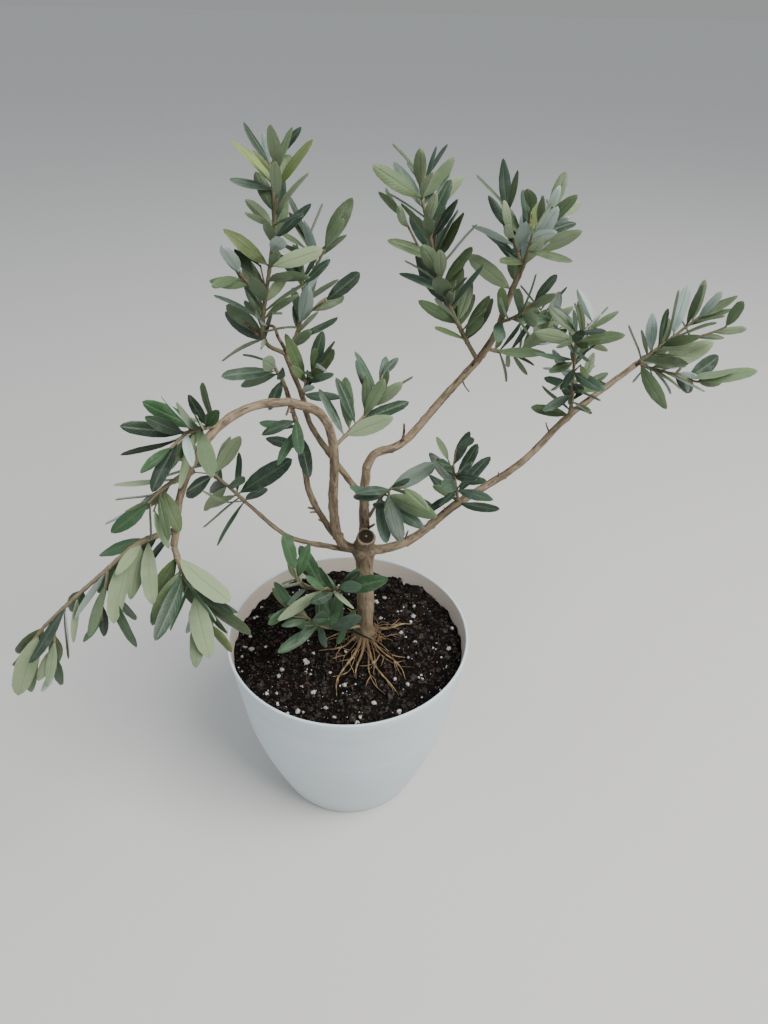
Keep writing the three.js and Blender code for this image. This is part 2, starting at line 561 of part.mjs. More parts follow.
const rootsGrown = [];
const roots = ROOTS.map((plan) => {
  const shape = largest(root(plan, 0).subtract(wasm.Manifold.union([wood[0], ...rootsGrown])));
  rootsGrown.push(root(plan, TOUCH_GAP));
  return { name: plan.name, shape };
});
const soilSolid = largest(soil().subtract(wasm.Manifold.union(rootsGrown)));

// Stems first, so that every leaf knows all the wood; a twig or leaf that would meet another is left out
const masses = MASSES.map((plan) => ({ name: plan.name, color: plan.color, stems: growMass(plan) }));
masses.forEach(({ name, stems }) => keep(name, woodMarks(stems[0].course, stems[0].thick)));
masses.forEach((mass) => {
  const [main, ...twigs] = mass.stems;
  const clear = twigs.filter(({ course, thick }) => !meets(mass.name, woodMarks(course, thick).slice(2)));
  clear.forEach(({ course, thick }) => keep(mass.name, woodMarks(course, thick)));
  mass.stems = [main, ...clear];
});
masses.forEach(({ name, stems }) => stems.forEach((stem) => {
  stem.leaves = stem.leaves.filter((leaf) => {
    const marks = leafMarks(leaf);
    const clear = !meets(name, marks);
    if (clear) keep(name, marks);
    return clear;
  });
}));

const massSolids = masses.map(({ name, color, stems }) => {
  const pieces = stems.flatMap(({ course, thick, leaves }) => {
    return [limb(course, stemTaper(thick), STEM_SIDES, stemSteps(course)), ...leaves.map(blade)];
  });
  const shape = largest(wasm.Manifold.union(pieces).subtract(wasm.Manifold.union(wood)));
  const main = stems[0];
  wood.push(limb(main.course, stemTaper(main.thick, 2 * TOUCH_GAP), STEM_SIDES, stemSteps(main.course)));
  return { name, shape, color };
});

show('pot', pot(), 0xeceff0, 0.42);
show('soil', soilSolid, 0x2b221d, 0.95);
show('trunk', trunkSolid, 0x9a8468, 0.85);
roots.forEach(({ name, shape }) => show(name, shape, 0xb08d5e, 0.8));
boughs.forEach(({ name, shape }) => show(name, shape, 0x97836a, 0.82));
massSolids.forEach(({ name, shape, color }) => show(name, shape, color, 0.6));

export default model;
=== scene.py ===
"""An olive bonsai in its pot: an add-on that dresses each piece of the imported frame."""

import math

import bmesh
import bpy
import numpy as np
from bpy.props import FloatProperty, FloatVectorProperty, IntProperty, PointerProperty
from bpy.types import Operator, Panel, PropertyGroup
from mathutils import Matrix, Vector, kdtree, noise


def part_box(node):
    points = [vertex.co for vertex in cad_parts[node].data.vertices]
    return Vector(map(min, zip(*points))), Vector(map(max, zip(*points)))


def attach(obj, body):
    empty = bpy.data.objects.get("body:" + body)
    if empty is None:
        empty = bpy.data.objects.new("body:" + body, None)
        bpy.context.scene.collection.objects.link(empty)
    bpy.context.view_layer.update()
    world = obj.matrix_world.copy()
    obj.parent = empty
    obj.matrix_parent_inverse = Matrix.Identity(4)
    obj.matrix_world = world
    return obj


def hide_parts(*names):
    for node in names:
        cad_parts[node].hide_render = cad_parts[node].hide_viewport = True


bl_info = {
    "name": "Olive bonsai",
    "version": (1, 0, 0),
    "blender": (4, 5, 0),
    "location": "3D View > Sidebar > Olive",
    "description": "Pot, soil, roots, wood and foliage of a small olive tree",
    "category": "Add Mesh",
}

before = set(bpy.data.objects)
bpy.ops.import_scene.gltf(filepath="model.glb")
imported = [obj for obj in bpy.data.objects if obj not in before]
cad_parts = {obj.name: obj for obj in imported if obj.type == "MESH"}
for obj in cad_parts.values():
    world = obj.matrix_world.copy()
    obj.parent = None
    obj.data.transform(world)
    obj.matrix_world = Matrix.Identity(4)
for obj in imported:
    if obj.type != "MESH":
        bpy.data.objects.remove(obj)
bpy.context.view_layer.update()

# Shapes are worked out in millimetres and made in metres.
MM = 0.001

# The trunk, the sawn end of the old leader in front of its fork, and the boughs, each with its thickness at
# start and tip and its course.
TRUNK = [(12.2, 7, 138), (12.6, 6, 150), (13.6, 4.6, 178), (13.2, 3.2, 205), (12.6, 1.6, 236)]
TRUNK_RADIUS = 6.7
TRUNK_UNEVENNESS = 0.35
FLARE_RADIUS = 10.4
FLARE_HEIGHT = 12
FLARE_RIBS, FLARE_RIB_DEPTH = 4, 0.5
# How much the trunk thickens just below its fork, and over what length.
CROTCH_SWELL, CROTCH_LENGTH = 1.8, 16
FORK_CENTRE = (12.2, 1.5, 238)
FORK_RADIUS = 9.2
STUMP = [(11.4, 3.6, 239), (12.8, -1, 247), (14.2, -5.6, 255.5)]
STUMP_RADIUS = 7
BOUGHS = {
    "leader": ((8.4, 6.6), [(12.4, 4, 240), (12.2, 7.5, 256), (12.2, 11, 276), (13.4, 16, 301)]),
    "bough_right_low": ((7.2, 4.2), [(14, 3, 236), (31, 6, 236.5), (52, 14, 242.5), (83, 28, 264),
                                     (129, 46, 289), (164, 62, 322), (214, 82, 357)]),
    "bough_arch_rise": ((7.6, 5.6), [(8, 0, 238), (-4.5, -5, 250), (-8.5, -12, 284), (-6.5, -21, 338),
                                     (-14, -27, 365), (-32, -34, 376)]),
    "bough_arch_fall": ((5.6, 4.6), [(-32, -34, 376), (-53, -42, 376), (-74, -56, 366), (-92, -70, 338),
                                     (-99, -84, 303)]),
    "bough_left_inner": ((5.2, 3.6), [(-3, -4, 247), (-14, -2, 262), (-27, 4, 288), (-31.5, 10, 326),
                                      (-40, 12, 363)]),
    "bough_left_low": ((4.6, 3), [(6, 0, 238), (-18, -5, 246), (-46, 2, 250), (-76, 14, 271)]),
    "bough_right_upper": ((6.4, 5.3), [(13.4, 16, 301), (20, 20.5, 310), (40, 29, 315), (65, 42, 341),
                                       (91, 58, 366)]),
    "bough_left_upper": ((5, 3.8), [(12, 11, 277), (-3, 16, 296), (-25, 22, 329), (-31, 25, 351),
                                    (-41, 28, 380)]),
    "bough_right_top": ((5.6, 4), [(91, 58, 366), (102, 62, 384), (109, 66, 407), (117, 68, 431)]),
}
# Dead stubs and snags: the bough each stands on, its share of the bough, its direction, thickness and length.
STUBS = [
    ("bough_right_upper", 0.284, (1.6, -3, 16), 2.2, 16),
    ("bough_right_low", 0.123, (1.1, -2, 10), 1.8, 10),
    ("bough_right_low", 0.267, (-0.3, -2, 6), 1.7, 5.5),
    ("bough_right_low", 0.46, (-0.2, -2, 6), 1.6, 5),
    ("bough_left_inner", 0.265, (-5, -1, 1.6), 2.2, 4.5),
    ("bough_left_inner", 0.247, (-4.3, -2, 0.8), 1.8, 4.2),
    ("bough_left_inner", 0.16, (-4.2, -1, 3.5), 1.8, 5),
    ("bough_arch_rise", 0.99, (-2.2, -3, -5.4), 2, 5.8),
    ("bough_arch_rise", 0.96, (-3.3, -1, -3.4), 1.7, 4.7),
    ("bough_right_upper", 0.93, (6, -1, 10), 2, 9),
    ("bough_right_upper", 0.85, (5.8, -2, -9), 1.4, 9),
    ("leader", 0.2, (5.5, -2, 5.4), 2.6, 8.5),
    ("bough_right_low", 0.985, (3.1, -3, 3.8), 3, 5),
    ("bough_right_low", 0.668, (-4.2, -2, 8.4), 1.5, 9.4),
    ("bough_right_low", 0.371, (3.3, -1, -3.6), 1.5, 4.5),
    ("bough_right_top", 1.0, (2, -2, 9), 2.8, 7),
]
# Dead snags that stand on their own, each with its thickness and course.
SNAGS = {
    "forked_snag": (2.8, [(-41, 28, 378), (-41, 27, 384), (-45, 26, 393), (-47, 25, 400), (-52, 24, 400.5),
                          (-57, 22, 396)]),
    "red_stub": (2.2, [(-57, 22, 395), (-61, 21, 400), (-65, 20, 405)]),
    "dried_bud": (1.6, [(129, 69, 461), (131, 68, 466), (130, 66, 469)]),
    "dried_bud_left": (1.4, [(129, 70, 461), (126, 70, 465), (126, 68, 469)]),
}
# Surface roots: heading from +X in degrees, bend, length and thickness.
ROOTS = {
    "root_right": (34, -14, 43, (4, 1.8)), "root_right_low": (-46, -8, 56, (2.8, 1.4)),
    "root_front_right": (-72, 4, 66, (3.4, 1.4)), "root_front": (-93, -3, 45, (3.8, 1.6)),
    "root_front_left": (-112, 6, 65, (3.4, 1.4)), "root_left_low": (-145, -8, 40, (2.6, 1.4)),
    "root_left": (172, 12, 32, (3, 1.4)), "root_back": (98, 14, 38, (3.4, 1.4)),
}
ROOT_START = 5
ROOT_RISE, ROOT_RISE_LENGTH = 4, 14
ROOT_STEPS = 5
ROOT_WIGGLE = 4
# Thin roots among them, laid out the same way, and the width of soil that makes room for a root.
ROOTLETS = [
    (-54, 12, 52, (1.3, 0.4)), (-61, -14, 44, (1.1, 0.4)), (-38, -16, 49, (1.1, 0.4)),
    (-80, 5, 63, (2, 0.7)), (-103, -10, 47, (1.2, 0.4)), (-124, 12, 41, (1, 0.4)),
    (18, 14, 30, (1.8, 0.6)), (-10, 18, 24, (1.5, 0.5)),
]
ROOT_ROOM = 6

# What each row of a mass of foliage says, and the rows. Tints are drawn leaf by leaf: those of the upper side
# stand before the stroke and those of the underside after it. Most tints are one leaf colour with its light
# and shade painted in, so the tints chosen for a mass paint that mass's light and shade.
MASS_KEYS = ("name", "tints", "thick", "course", "pairs", "turn", "open", "leaf", "bare", "lift", "pale",
             "twigs", "twig", "seed")
MASSES = [
    ("shoot_top_left", "DDOOGY/MVS", (3.2, 2.1),
     [(-41, 28, 380), (-54, 22, 395), (-45, 16, 444), (-40, 12, 471), (-36, 9, 496)],
     15, 95, (68, 38), 35, 0.12, 0.11, 0.35, 2, 21, 6729),
    ("shoot_top_middle", "DDGOO/MSV", (3.4, 2.1),
     [(-41, 28, 381), (-33, 34, 393), (-28, 40, 417), (-21, 42, 432), (-14, 40, 446)],
     7, 89, (70, 24), 36, 0, 0.38, 0.2, 2, 22, 2088),
    ("tuft_top_middle", "OOD/S", (2.2, 2.1),
     [(-28, 38, 404), (-21, 34, 410), (-14, 30, 416)],
     3, 130, (88, 22), 35, 0.23, 0.33, 0.2, 0, 31, 7206),
    ("tuft_left_inner", "DGO/MS", (3.2, 2.1),
     [(-40, 12, 363), (-42, 12, 369), (-44, 11, 373), (-47, 10, 382)],
     8, 115, (57, 9), 35, 0.28, -0.68, 0.4, 0, 24, 9616),
    ("tuft_left_upper", "GDOO/MSV", (2.4, 2.1),
     [(-31, 25, 351), (-28, 20, 361), (-24, 15, 371), (-19, 10, 380)],
     8, 33, (35, 25), 35, 0.07, -0.13, 0.45, 0, 21, 9272),
    ("shoot_arch_crown", "DDGG/MMS", (2.8, 2.1),
     [(-5, -18, 338), (6, -10, 347), (18, 0, 357), (24, 6, 365)],
     8, 28, (66, 52), 36, 0.17, 0.61, 0.3, 0, 21, 4405),
    ("shoot_leader_foot", "DGGD/M", (2.8, 2.1),
     [(16, 9, 263), (21, 2, 278), (26, -6, 292), (31, -12, 301)],
     7, 3, (47, 44), 38, 0.4, -0.54, 0.3, 0, 22, 4957),
    ("tuft_right_low", "DDDG/M", (2.4, 2.1),
     [(83, 28, 264), (80, 22, 279), (77, 16, 295), (75, 12, 306)],
     6, 58, (88, 43), 35, 0, 0.3, 0.1, 0, 24, 3622),
    ("shoot_right_thin", "OOODG/MS", (3.4, 2.1),
     [(91, 58, 366), (80, 62, 383), (66, 62, 410), (54, 58, 446), (46, 52, 474)],
     13, 120, (76, 59), 40, 0.12, 0.7, 0.2, 2, 40, 9148),
    ("tuft_right_top_side", "OGGD/VSM", (2.4, 2.1),
     [(115, 68, 431), (108, 62, 448), (103, 58, 458), (101, 55, 467)],
     9, 8, (62, 22), 35, 0.11, 0.32, 0.4, 1, 25, 1681),
    ("tuft_right_top", "OOGDY/VSM", (3.8, 2.4),
     [(109, 66, 407), (117, 68, 431), (123, 69, 447), (130, 70, 464)],
     10, 164, (58, 23), 35, 0.12, -0.12, 0.4, 2, 37, 9030),
    ("shoot_right_fork", "OOGDF/MS", (2.6, 2.1),
     [(104, 64, 392), (111, 58, 397), (119, 54, 404), (127, 50, 414)],
     7, 84, (59, 13), 35, 0.09, -0.03, 0.3, 0, 29, 2073),
    ("shoot_right_middle", "OOODG/MSV", (3, 2.1),
     [(96, 60, 374), (116, 72, 367), (132, 82, 368), (158, 98, 370)],
     7, 103, (51, 34), 36, 0.13, 0.48, 0.2, 2, 29, 3525),
    ("shoot_right_upright", "OOGD/MVS", (2.8, 2.1),
     [(164, 62, 322), (164, 62, 336), (158, 54, 373), (156, 50, 391)],
     10, 1, (51, 47), 35, 0.04, -0.4, 0.35, 1, 30, 8680),
    ("shoot_right_end", "OOOGD/VSM", (3.6, 2.1),
     [(214, 82, 357), (232, 86, 371), (244, 88, 382), (252, 88, 390)],
     12, 68, (82, 39), 35, 0.03, 0.38, 0.5, 1, 39, 6702),
    ("shoot_right_end_low", "OOD/VSM", (2.8, 2.1),
     [(214, 82, 357), (225, 86, 351), (236, 88, 348), (254, 92, 341), (266, 92, 338)],
     6, 61, (35, 26), 45, 0.04, 0.13, 0.6, 0, 22, 8348),
    ("shoot_arch_left", "OFFD/MSV", (3, 2.1),
     [(-72, -54, 370), (-83, -70, 374), (-86, -77, 374), (-90, -84, 372)],
     14, 113, (74, 18), 35, 0, -0.05, 0.6, 0, 31, 8735),
    ("shoot_arch_left_low", "ODF/MSV", (3, 2.1),
     [(-88, -66, 347), (-96, -76, 344), (-101, -84, 343), (-105, -92, 341)],
     6, 17, (83, 57), 36, 0.37, -0.69, 0.5, 0, 32, 6060),
    ("shoot_weeping_long", "OFD/MSSSV", (3.4, 2.1),
     [(-99, -80, 312), (-115, -94, 313), (-135, -104, 299), (-158, -112, 280), (-175, -116, 264),
      (-197, -120, 238)],
     11, 72, (45, 14), 42, 0.01, -0.9, 0.6, 2, 26, 4643),
    ("shoot_weeping_short", "OFD/MSSV", (4.2, 2.1),
     [(-99, -84, 303), (-95, -90, 293), (-90, -94, 282), (-83, -96, 265)],
     11, 168, (62, 60), 41, 0.13, -0.44, 0.6, 0, 34, 6368),
    ("tuft_left_low", "DDF/MS", (2.8, 2.1),
     [(-76, 14, 271), (-95, 18, 289), (-105, 20, 297)],
     5, 103, (63, 44), 41, 0, -0.62, 0.2, 0, 29, 6273),
    ("tuft_left_inner_low", "DDF/M", (2.2, 2.1),
     [(-30, 8, 308), (-31, 4, 332), (-33, 0, 347)],
     4, 194, (52, 70), 35, 0.4, -0.49, 0.1, 0, 24, 7006),
    ("shoot_trunk_upper", "FFFDG/MS", (4, 2.1),
     [(13, 3, 205), (-3, -12, 212), (-24, -26, 222), (-33, -31, 231), (-35, -33, 245)],
     3, 69, (88, 26), 43, 0.17, 0.39, 0.25, 2, 16, 7395),
    ("shoot_trunk_low", "FFFG/MS", (3, 2.1),
     [(13, 5, 157), (-4, -12, 170), (-21, -26, 186), (-37, -38, 216)],
     7, 61, (88, 60), 35, 0.25, 0.1, 0.25, 0, 30, 5843),
]

# The growing rule: leaves in crossed pairs, and side twigs at the golden angle.
PAIR_TURN, PAIR_TURN_RANGE = 90, 22
PAIR_SHIFT = 0.3
LEAF_TURN_RANGE = 24
LEAF_OPEN_RANGE = 17
LEAF_SIZE_RANGE = 0.2
LEAF_TIP_SHRINK = 0.18
LEAF_WIDTH, LEAF_WIDTH_RANGE = 0.32, 0.06
LEAF_BEND, LEAF_BEND_RANGE = 0.05, 0.09
LEAF_ROLL_RANGE = 34
LEAF_LIGHT = 1.1
LEAF_FALL = 0.1
LEAF_OUTLINE = ((0, 0.04), (0.32, 0.5), (0.74, 0.44), (1, 0))
TWIG_PLACES = (0.25, 0.85)
TWIG_TURN, TWIG_TURN_RANGE = 137, 60
TWIG_LENGTH_RANGE = 0.25
TWIG_OPEN, TWIG_OPEN_RANGE = 48, 14
TWIG_PAIRS = 3
TWIG_BARE = 0.35
TWIG_LEAF = 0.82
TWIG_LEAF_TURN = 60
TWIG_RISE = 0.12
TWIG_THICKNESS = 2.1
LEAF_CLEARANCE = 3.2
LEAF_SPACING = 2.6
WOOD_MARK_STEP = 2.5
LEAF_MARKS = 8
LEAF_MARK_SHARES = (0.16, 0.12)
WOOD_CLEARANCE = 1.4
STEPS_PER_BEND = 8
SMOOTH_REACH = 2.5
FRONT = np.array((0.0, -1.0, 0.0))
UP = np.array((0.0, 0.0, 1.0))
LIGHT = np.array((0.05, -0.62, 0.78))

# Finer growth than the solids show: leaves between the rule's pairs, by their turn and size, young sprigs in
# the leaf axils, and a last small pair at each tip.
BETWEEN = ((45, 0.92), (0, 0.8), (70, 0.7))
FINE_SPACING = 2
SPRIG_SHARE = 0.28
SPRIG_RISE, SPRIG_LEAN = 0.3, 0.75
SPRIG_LENGTH = (7, 17)
SPRIG_LEAF = (15, 27)
SPRIG_LEAF_WIDTH = (0.3, 0.42)
SPRIG_LEAF_BEND = (-0.04, 0.1)
SPRIG_LEAF_ROLL = (-0.5, 0.5)
SPRIG_OPEN = 44
SPRIG_THICKNESS = (1.3, 0.9)
TIP_LEAF = (12, 21)
TIP_LEAF_WIDTH, TIP_LEAF_BEND = 0.26, 0.02
TIP_OPEN = 20
# Added to a mass's seed for the draws of its leaves between pairs, of its sprigs and of its tints.
BETWEEN_DRAW = 1301
SPRIG_DRAW = 7919
TINT_DRAW = 104729

# Olive, sage and silver are leaf colours with painted light, and moss carries painted shade. Fresh is a fresh
# green with painted shade, and dark is partly an old leaf's colour, partly painted shade.
LEAF_TINTS = {
    "D": "upper_dark", "O": "upper_olive", "G": "upper_grey", "F": "upper_fresh_shaded", "Y": "upper_young",
    "M": "under_moss", "S": "under_sage", "V": "under_silver",
}


# Settings

class OlivePotSettings(PropertyGroup):
    """Sizes and colour of the pot"""
    height: FloatProperty(name="Height", description="From the underside to the rim", default=0.157,
                          unit="LENGTH", subtype="DISTANCE")
    foot_radius: FloatProperty(name="Foot radius", description="Radius of the flat underside", default=0.0614,
                               unit="LENGTH", subtype="DISTANCE")
    belly_radius: FloatProperty(name="Belly radius", description="Radius where the side turns straight",
                                default=0.0886, unit="LENGTH", subtype="DISTANCE")
    belly_height: FloatProperty(name="Belly height", description="Height where the side turns straight",
                                default=0.095, unit="LENGTH", subtype="DISTANCE")
    rim_radius: FloatProperty(name="Rim radius", description="Outer radius of the rim", default=0.0968,
                              unit="LENGTH", subtype="DISTANCE")
    wall: FloatProperty(name="Wall", description="Thickness of the plastic", default=0.0022,
                        unit="LENGTH", subtype="DISTANCE")
    color: FloatVectorProperty(name="Plastic", description="Colour of the plastic", subtype="COLOR",
                               size=3, default=(0.565, 0.64, 0.675))
    inner: FloatVectorProperty(name="Inner wall", description="Colour of the wall above the soil",
                               subtype="COLOR", size=3, default=(0.66, 0.575, 0.49))


class OliveSoilSettings(PropertyGroup):
    """Height, grains and colour of the soil"""
    edge_height: FloatProperty(name="Edge height", description="Height of the soil at the pot's wall",
                               default=0.142, unit="LENGTH", subtype="DISTANCE")
    mound: FloatProperty(name="Mound", description="How much higher the soil stands round the trunk",
                         default=0.003, unit="LENGTH", subtype="DISTANCE")
    perlite: IntProperty(name="Perlite", description="Number of white grains", default=240, min=0)
    crumbs: IntProperty(name="Crumbs", description="Number of dark crumbs", default=4200, min=0)
    clumps: IntProperty(name="Clumps", description="Number of coarse clumps", default=330, min=0)
    fibres: IntProperty(name="Fibres", description="Number of short peat fibres", default=1200, min=0)
    chips: IntProperty(name="Bark chips", description="Number of reddish bark chips", default=110, min=0)
    # The peat is near black so that the bed between the crumbs stands for painted shade in their gaps.
    color: FloatVectorProperty(name="Peat", description="Colour of the peat", subtype="COLOR", size=3,
                               default=(0.0058, 0.0046, 0.0039))


class OliveWoodSettings(PropertyGroup):
    """Relief and colours of the wood and the roots"""
    voxel: FloatProperty(name="Grain of the mesh", description="Size of a face on the wood", default=0.0007,
                         unit="LENGTH", subtype="DISTANCE")
    relief: FloatProperty(name="Relief", description="Depth of the bark's relief", default=0.0005,
                          unit="LENGTH", subtype="DISTANCE")
    bark: FloatVectorProperty(name="Bark", description="Main colour of the bark", subtype="COLOR", size=3,
                              default=(0.225, 0.174, 0.112))
    bark_dark: FloatVectorProperty(name="Dark bark", description="Colour of the bark's pores and folds",
                                   subtype="COLOR", size=3, default=(0.032, 0.022, 0.014))
    root: FloatVectorProperty(name="Roots", description="Main colour of the surface roots", subtype="COLOR",
                              size=3, default=(0.275, 0.205, 0.092))


class OliveFoliageSettings(PropertyGroup):
    """Thickness and colours of the leaves"""
    thickness: FloatProperty(name="Thickness", description="Thickness of a leaf", default=0.00055,
                             unit="LENGTH", subtype="DISTANCE")
    # The dark tint is partly an old leaf's own colour and partly painted shade.
    upper_dark: FloatVectorProperty(name="Dark", description="Upper side of an old leaf", subtype="COLOR",
                                    size=3, default=(0.016, 0.040, 0.018))
    upper_olive: FloatVectorProperty(name="Olive", description="Upper side of a leaf in full light",
                                     subtype="COLOR", size=3, default=(0.072, 0.112, 0.040))
    upper_grey: FloatVectorProperty(name="Grey", description="Upper side with a bluish bloom",
                                    subtype="COLOR", size=3, default=(0.046, 0.086, 0.052))
    # A fresh green darkened with painted shade.
    upper_fresh_shaded: FloatVectorProperty(name="Fresh", description="Upper side of a shaded leaf",
                                     subtype="COLOR", size=3, default=(0.032, 0.090, 0.030))
    upper_young: FloatVectorProperty(name="Young", description="Upper side of a young leaf",
                                     subtype="COLOR", size=3, default=(0.150, 0.205, 0.050))
    under_sage: FloatVectorProperty(name="Sage", description="Underside in warm light", subtype="COLOR",
                                    size=3, default=(0.195, 0.252, 0.138))
    under_moss: FloatVectorProperty(name="Moss", description="Underside in shade", subtype="COLOR", size=3,
                                    default=(0.110, 0.165, 0.078))
    under_silver: FloatVectorProperty(name="Silver", description="Underside in cool light",
                                      subtype="COLOR", size=3, default=(0.335, 0.425, 0.375))
    rib: FloatVectorProperty(name="Rib", description="Midrib and leaf stalk", subtype="COLOR", size=3,
                             default=(0.085, 0.130, 0.055))
    twig: FloatVectorProperty(name="Twig", description="Young twigs", subtype="COLOR", size=3,
                              default=(0.20, 0.165, 0.10))


class OliveStageSettings(PropertyGroup):
    """Floor, light and camera"""
    floor: FloatVectorProperty(name="Floor", description="Colour of the floor", subtype="COLOR", size=3,
                               default=(0.56, 0.545, 0.52))
    key: FloatProperty(name="Key light", description="Power of the large light", default=80, unit="POWER")
    fill: FloatProperty(name="Fill light", description="Power of the second light", default=9, unit="POWER")
    zenith: FloatVectorProperty(name="Zenith", description="Colour of the light from above", subtype="COLOR",
                                size=3, default=(0.68, 0.735, 0.80))
    horizon: FloatVectorProperty(name="Horizon", description="Colour of the light from the sides",
                                 subtype="COLOR", size=3, default=(0.325, 0.332, 0.335))
    lens: FloatProperty(name="Lens", description="Focal length in millimetres", default=25.71, min=1)


# Shader maths

class Value:
    """A shader socket that does sums: each operator adds its Math node"""

    def __init__(self, look, socket):
        self.look = look
        self.socket = socket

    def math(self, operation, *values):
        return self.look.node("ShaderNodeMath", {"operation": operation}, dict(enumerate(values)))

    def __add__(self, other):
        return self.math("ADD", self, other)

    __radd__ = __add__

    def __sub__(self, other):
        return self.math("SUBTRACT", self, other)

    def __rsub__(self, other):
        return self.math("SUBTRACT", other, self)

    def __mul__(self, other):
        return self.math("MULTIPLY", self, other)

    __rmul__ = __mul__

    def __abs__(self):
        return self.math("ABSOLUTE", self)

    def sine(self):
        return self.math("SINE", self)

    def span(self, low, high):
        """0 at low and 1 at high, held between them"""
        return self.look.node("ShaderNodeMapRange", {"interpolation_type": "SMOOTHSTEP"},
                              {"Value": self, "From Min": low, "From Max": high})


class Nodes:
    """Adds nodes to a tree and feeds their sockets"""

    def __init__(self, tree):
        self.tree = tree

    def feed(self, socket, value):
        if isinstance(value, Value):
            self.tree.links.new(value.socket, socket)
        elif socket.type == "RGBA" and len(value) == 3:
            socket.default_value = (*value, 1)
        else:
            socket.default_value = value

    def node(self, kind, settings=None, values=None, output=0):
        node = self.tree.nodes.new(kind)
        for key, setting in (settings or {}).items():
            setattr(node, key, setting)
        for key, value in (values or {}).items():
            self.feed(node.inputs[key], value)
        return Value(self, node.outputs[output])

    def place(self, scale=(1, 1, 1), at=(0, 0, 0)):
        """The piece's own coordinates, moved to a centre and then scaled"""
        own = self.node("ShaderNodeTexCoord", output="Object")
        centred = self.node("ShaderNodeVectorMath", {"operation": "SUBTRACT"}, {0: own, 1: at})
        return self.node("ShaderNodeMapping", None, {"Vector": centred, "Scale": scale})

    def attribute(self, name, output="Fac"):
        return self.node("ShaderNodeAttribute", {"attribute_name": name}, output=output)

    def clouds(self, vector, scale, detail=3, roughness=0.5, distortion=0):
        return self.node("ShaderNodeTexNoise", None, {"Vector": vector, "Scale": scale, "Detail": detail,
                                                      "Roughness": roughness, "Distortion": distortion})

    def cells(self, vector, scale):
        return self.node("ShaderNodeTexVoronoi", None, {"Vector": vector, "Scale": scale})

    def axis(self, vector, number):
        return self.node("ShaderNodeSeparateXYZ", None, {0: vector}, number)

    def length(self, vector):
        return self.node("ShaderNodeVectorMath", {"operation": "LENGTH"}, {0: vector}, "Value")

    def mix(self, factor, first, second):
        """A colour between two colours"""
        return self.node("ShaderNodeMix", {"data_type": "RGBA"}, {0: factor, 6: first, 7: second}, 2)


class Look(Nodes):
    """A material: its node tree, and the constants set on the shader's own sockets"""

    def __init__(self, name, **constants):
        self.material = bpy.data.materials.new(name)
        self.material.use_nodes = True
        super().__init__(self.material.node_tree)
        self.shader = self.tree.nodes["Principled BSDF"]
        for key, value in constants.items():
            self.put(key.replace("_", " "), value)

    def put(self, name, value):
        self.feed(self.shader.inputs[name], value)

    def surface(self, color, roughness, height, depth, strength):
        """Feeds the colour, the roughness and a bump of a depth in metres"""
        self.put("Base Color", color)
        self.put("Roughness", roughness)
        bump = {"Height": height, "Distance": depth, "Strength": strength}
        self.put("Normal", self.node("ShaderNodeBump", None, bump))
        return self


def scaled(values, share):
    return tuple(value * share for value in values)


# Geometry shared by the pieces

def seeded(seed):
    """A repeatable stream of numbers from 0 to 1"""
    state = seed
    whole = 0xFFFFFFFF

    def draw():
        nonlocal state
        state = (state + 0x6D2B79F5) & whole
        t = ((state ^ (state >> 15)) * (1 | state)) & whole
        t = ((t + (((t ^ (t >> 7)) * (61 | t)) & whole)) & whole) ^ t
        return ((t ^ (t >> 14)) & whole) / (whole + 1)

    return draw


def swaying(draw):
    """Draws within a spread either way, from a stream of numbers from 0 to 1"""
    return lambda spread: (2 * draw() - 1) * spread


def lerp(start, end, share):
    return (1 - share) * start + share * end


def unit(vector):
    return vector / np.linalg.norm(vector)


class Course:
    """A smooth course through a few turning points, measured along its length"""

    def __init__(self, points, toward=FRONT):
        self.toward = toward
        turns = np.array(points, float)
        turns = np.vstack([2 * turns[0] - turns[1], turns, 2 * turns[-1] - turns[-2]])
        line = []
        for before, start, end, after in zip(turns, turns[1:], turns[2:], turns[3:]):
            leave, arrive = (end - before) / 2, (after - start) / 2
            for step in range(STEPS_PER_BEND):
                t = step / STEPS_PER_BEND
                square = -3 * start + 3 * end - 2 * leave - arrive
                cube = 2 * start - 2 * end + leave + arrive
                line.append(start + leave * t + square * t ** 2 + cube * t ** 3)
        self.line = np.array(line + [turns[-2]])
        self.at = np.concatenate([[0], np.cumsum(np.linalg.norm(np.diff(self.line, axis=0), axis=1))])
        self.length = self.at[-1]

    def frame(self, distance):
        """The place at a distance, the way the course heads there, and two directions square to it"""
        i = min(max(int(np.searchsorted(self.at, distance)), 1), len(self.line) - 1)
        heading = unit(self.line[i] - self.line[i - 1])
        centre = self.line[i - 1] + heading * (distance - self.at[i - 1])
        across = unit(np.cross(heading, self.toward))
        return centre, heading, across, np.cross(across, heading)

    def smooth(self, distance):
        """A frame that turns evenly through the course's steps, for a round limb"""
        before = self.frame(max(distance - SMOOTH_REACH, 0))[0]
        ahead = self.frame(min(distance + SMOOTH_REACH, self.length))[0]
        heading = unit(ahead - before)
        across = unit(np.cross(heading, self.toward))
        return self.frame(distance)[0], across, np.cross(across, heading)


def spun(profile, steps):
    """A form turned about Z from (radius, height) pairs"""
    bm = bmesh.new()
    points = [bm.verts.new((radius, 0, height)) for radius, height in profile]
    edges = [bm.edges.new(pair) for pair in zip(points, points[1:])]
    bmesh.ops.spin(bm, geom=points + edges, cent=(0, 0, 0), axis=(0, 0, 1), angle=2 * math.pi, steps=steps,
                   use_merge=True)
    bmesh.ops.remove_doubles(bm, verts=bm.verts, dist=1e-5)
    bmesh.ops.recalc_face_normals(bm, faces=bm.faces)
    return bm


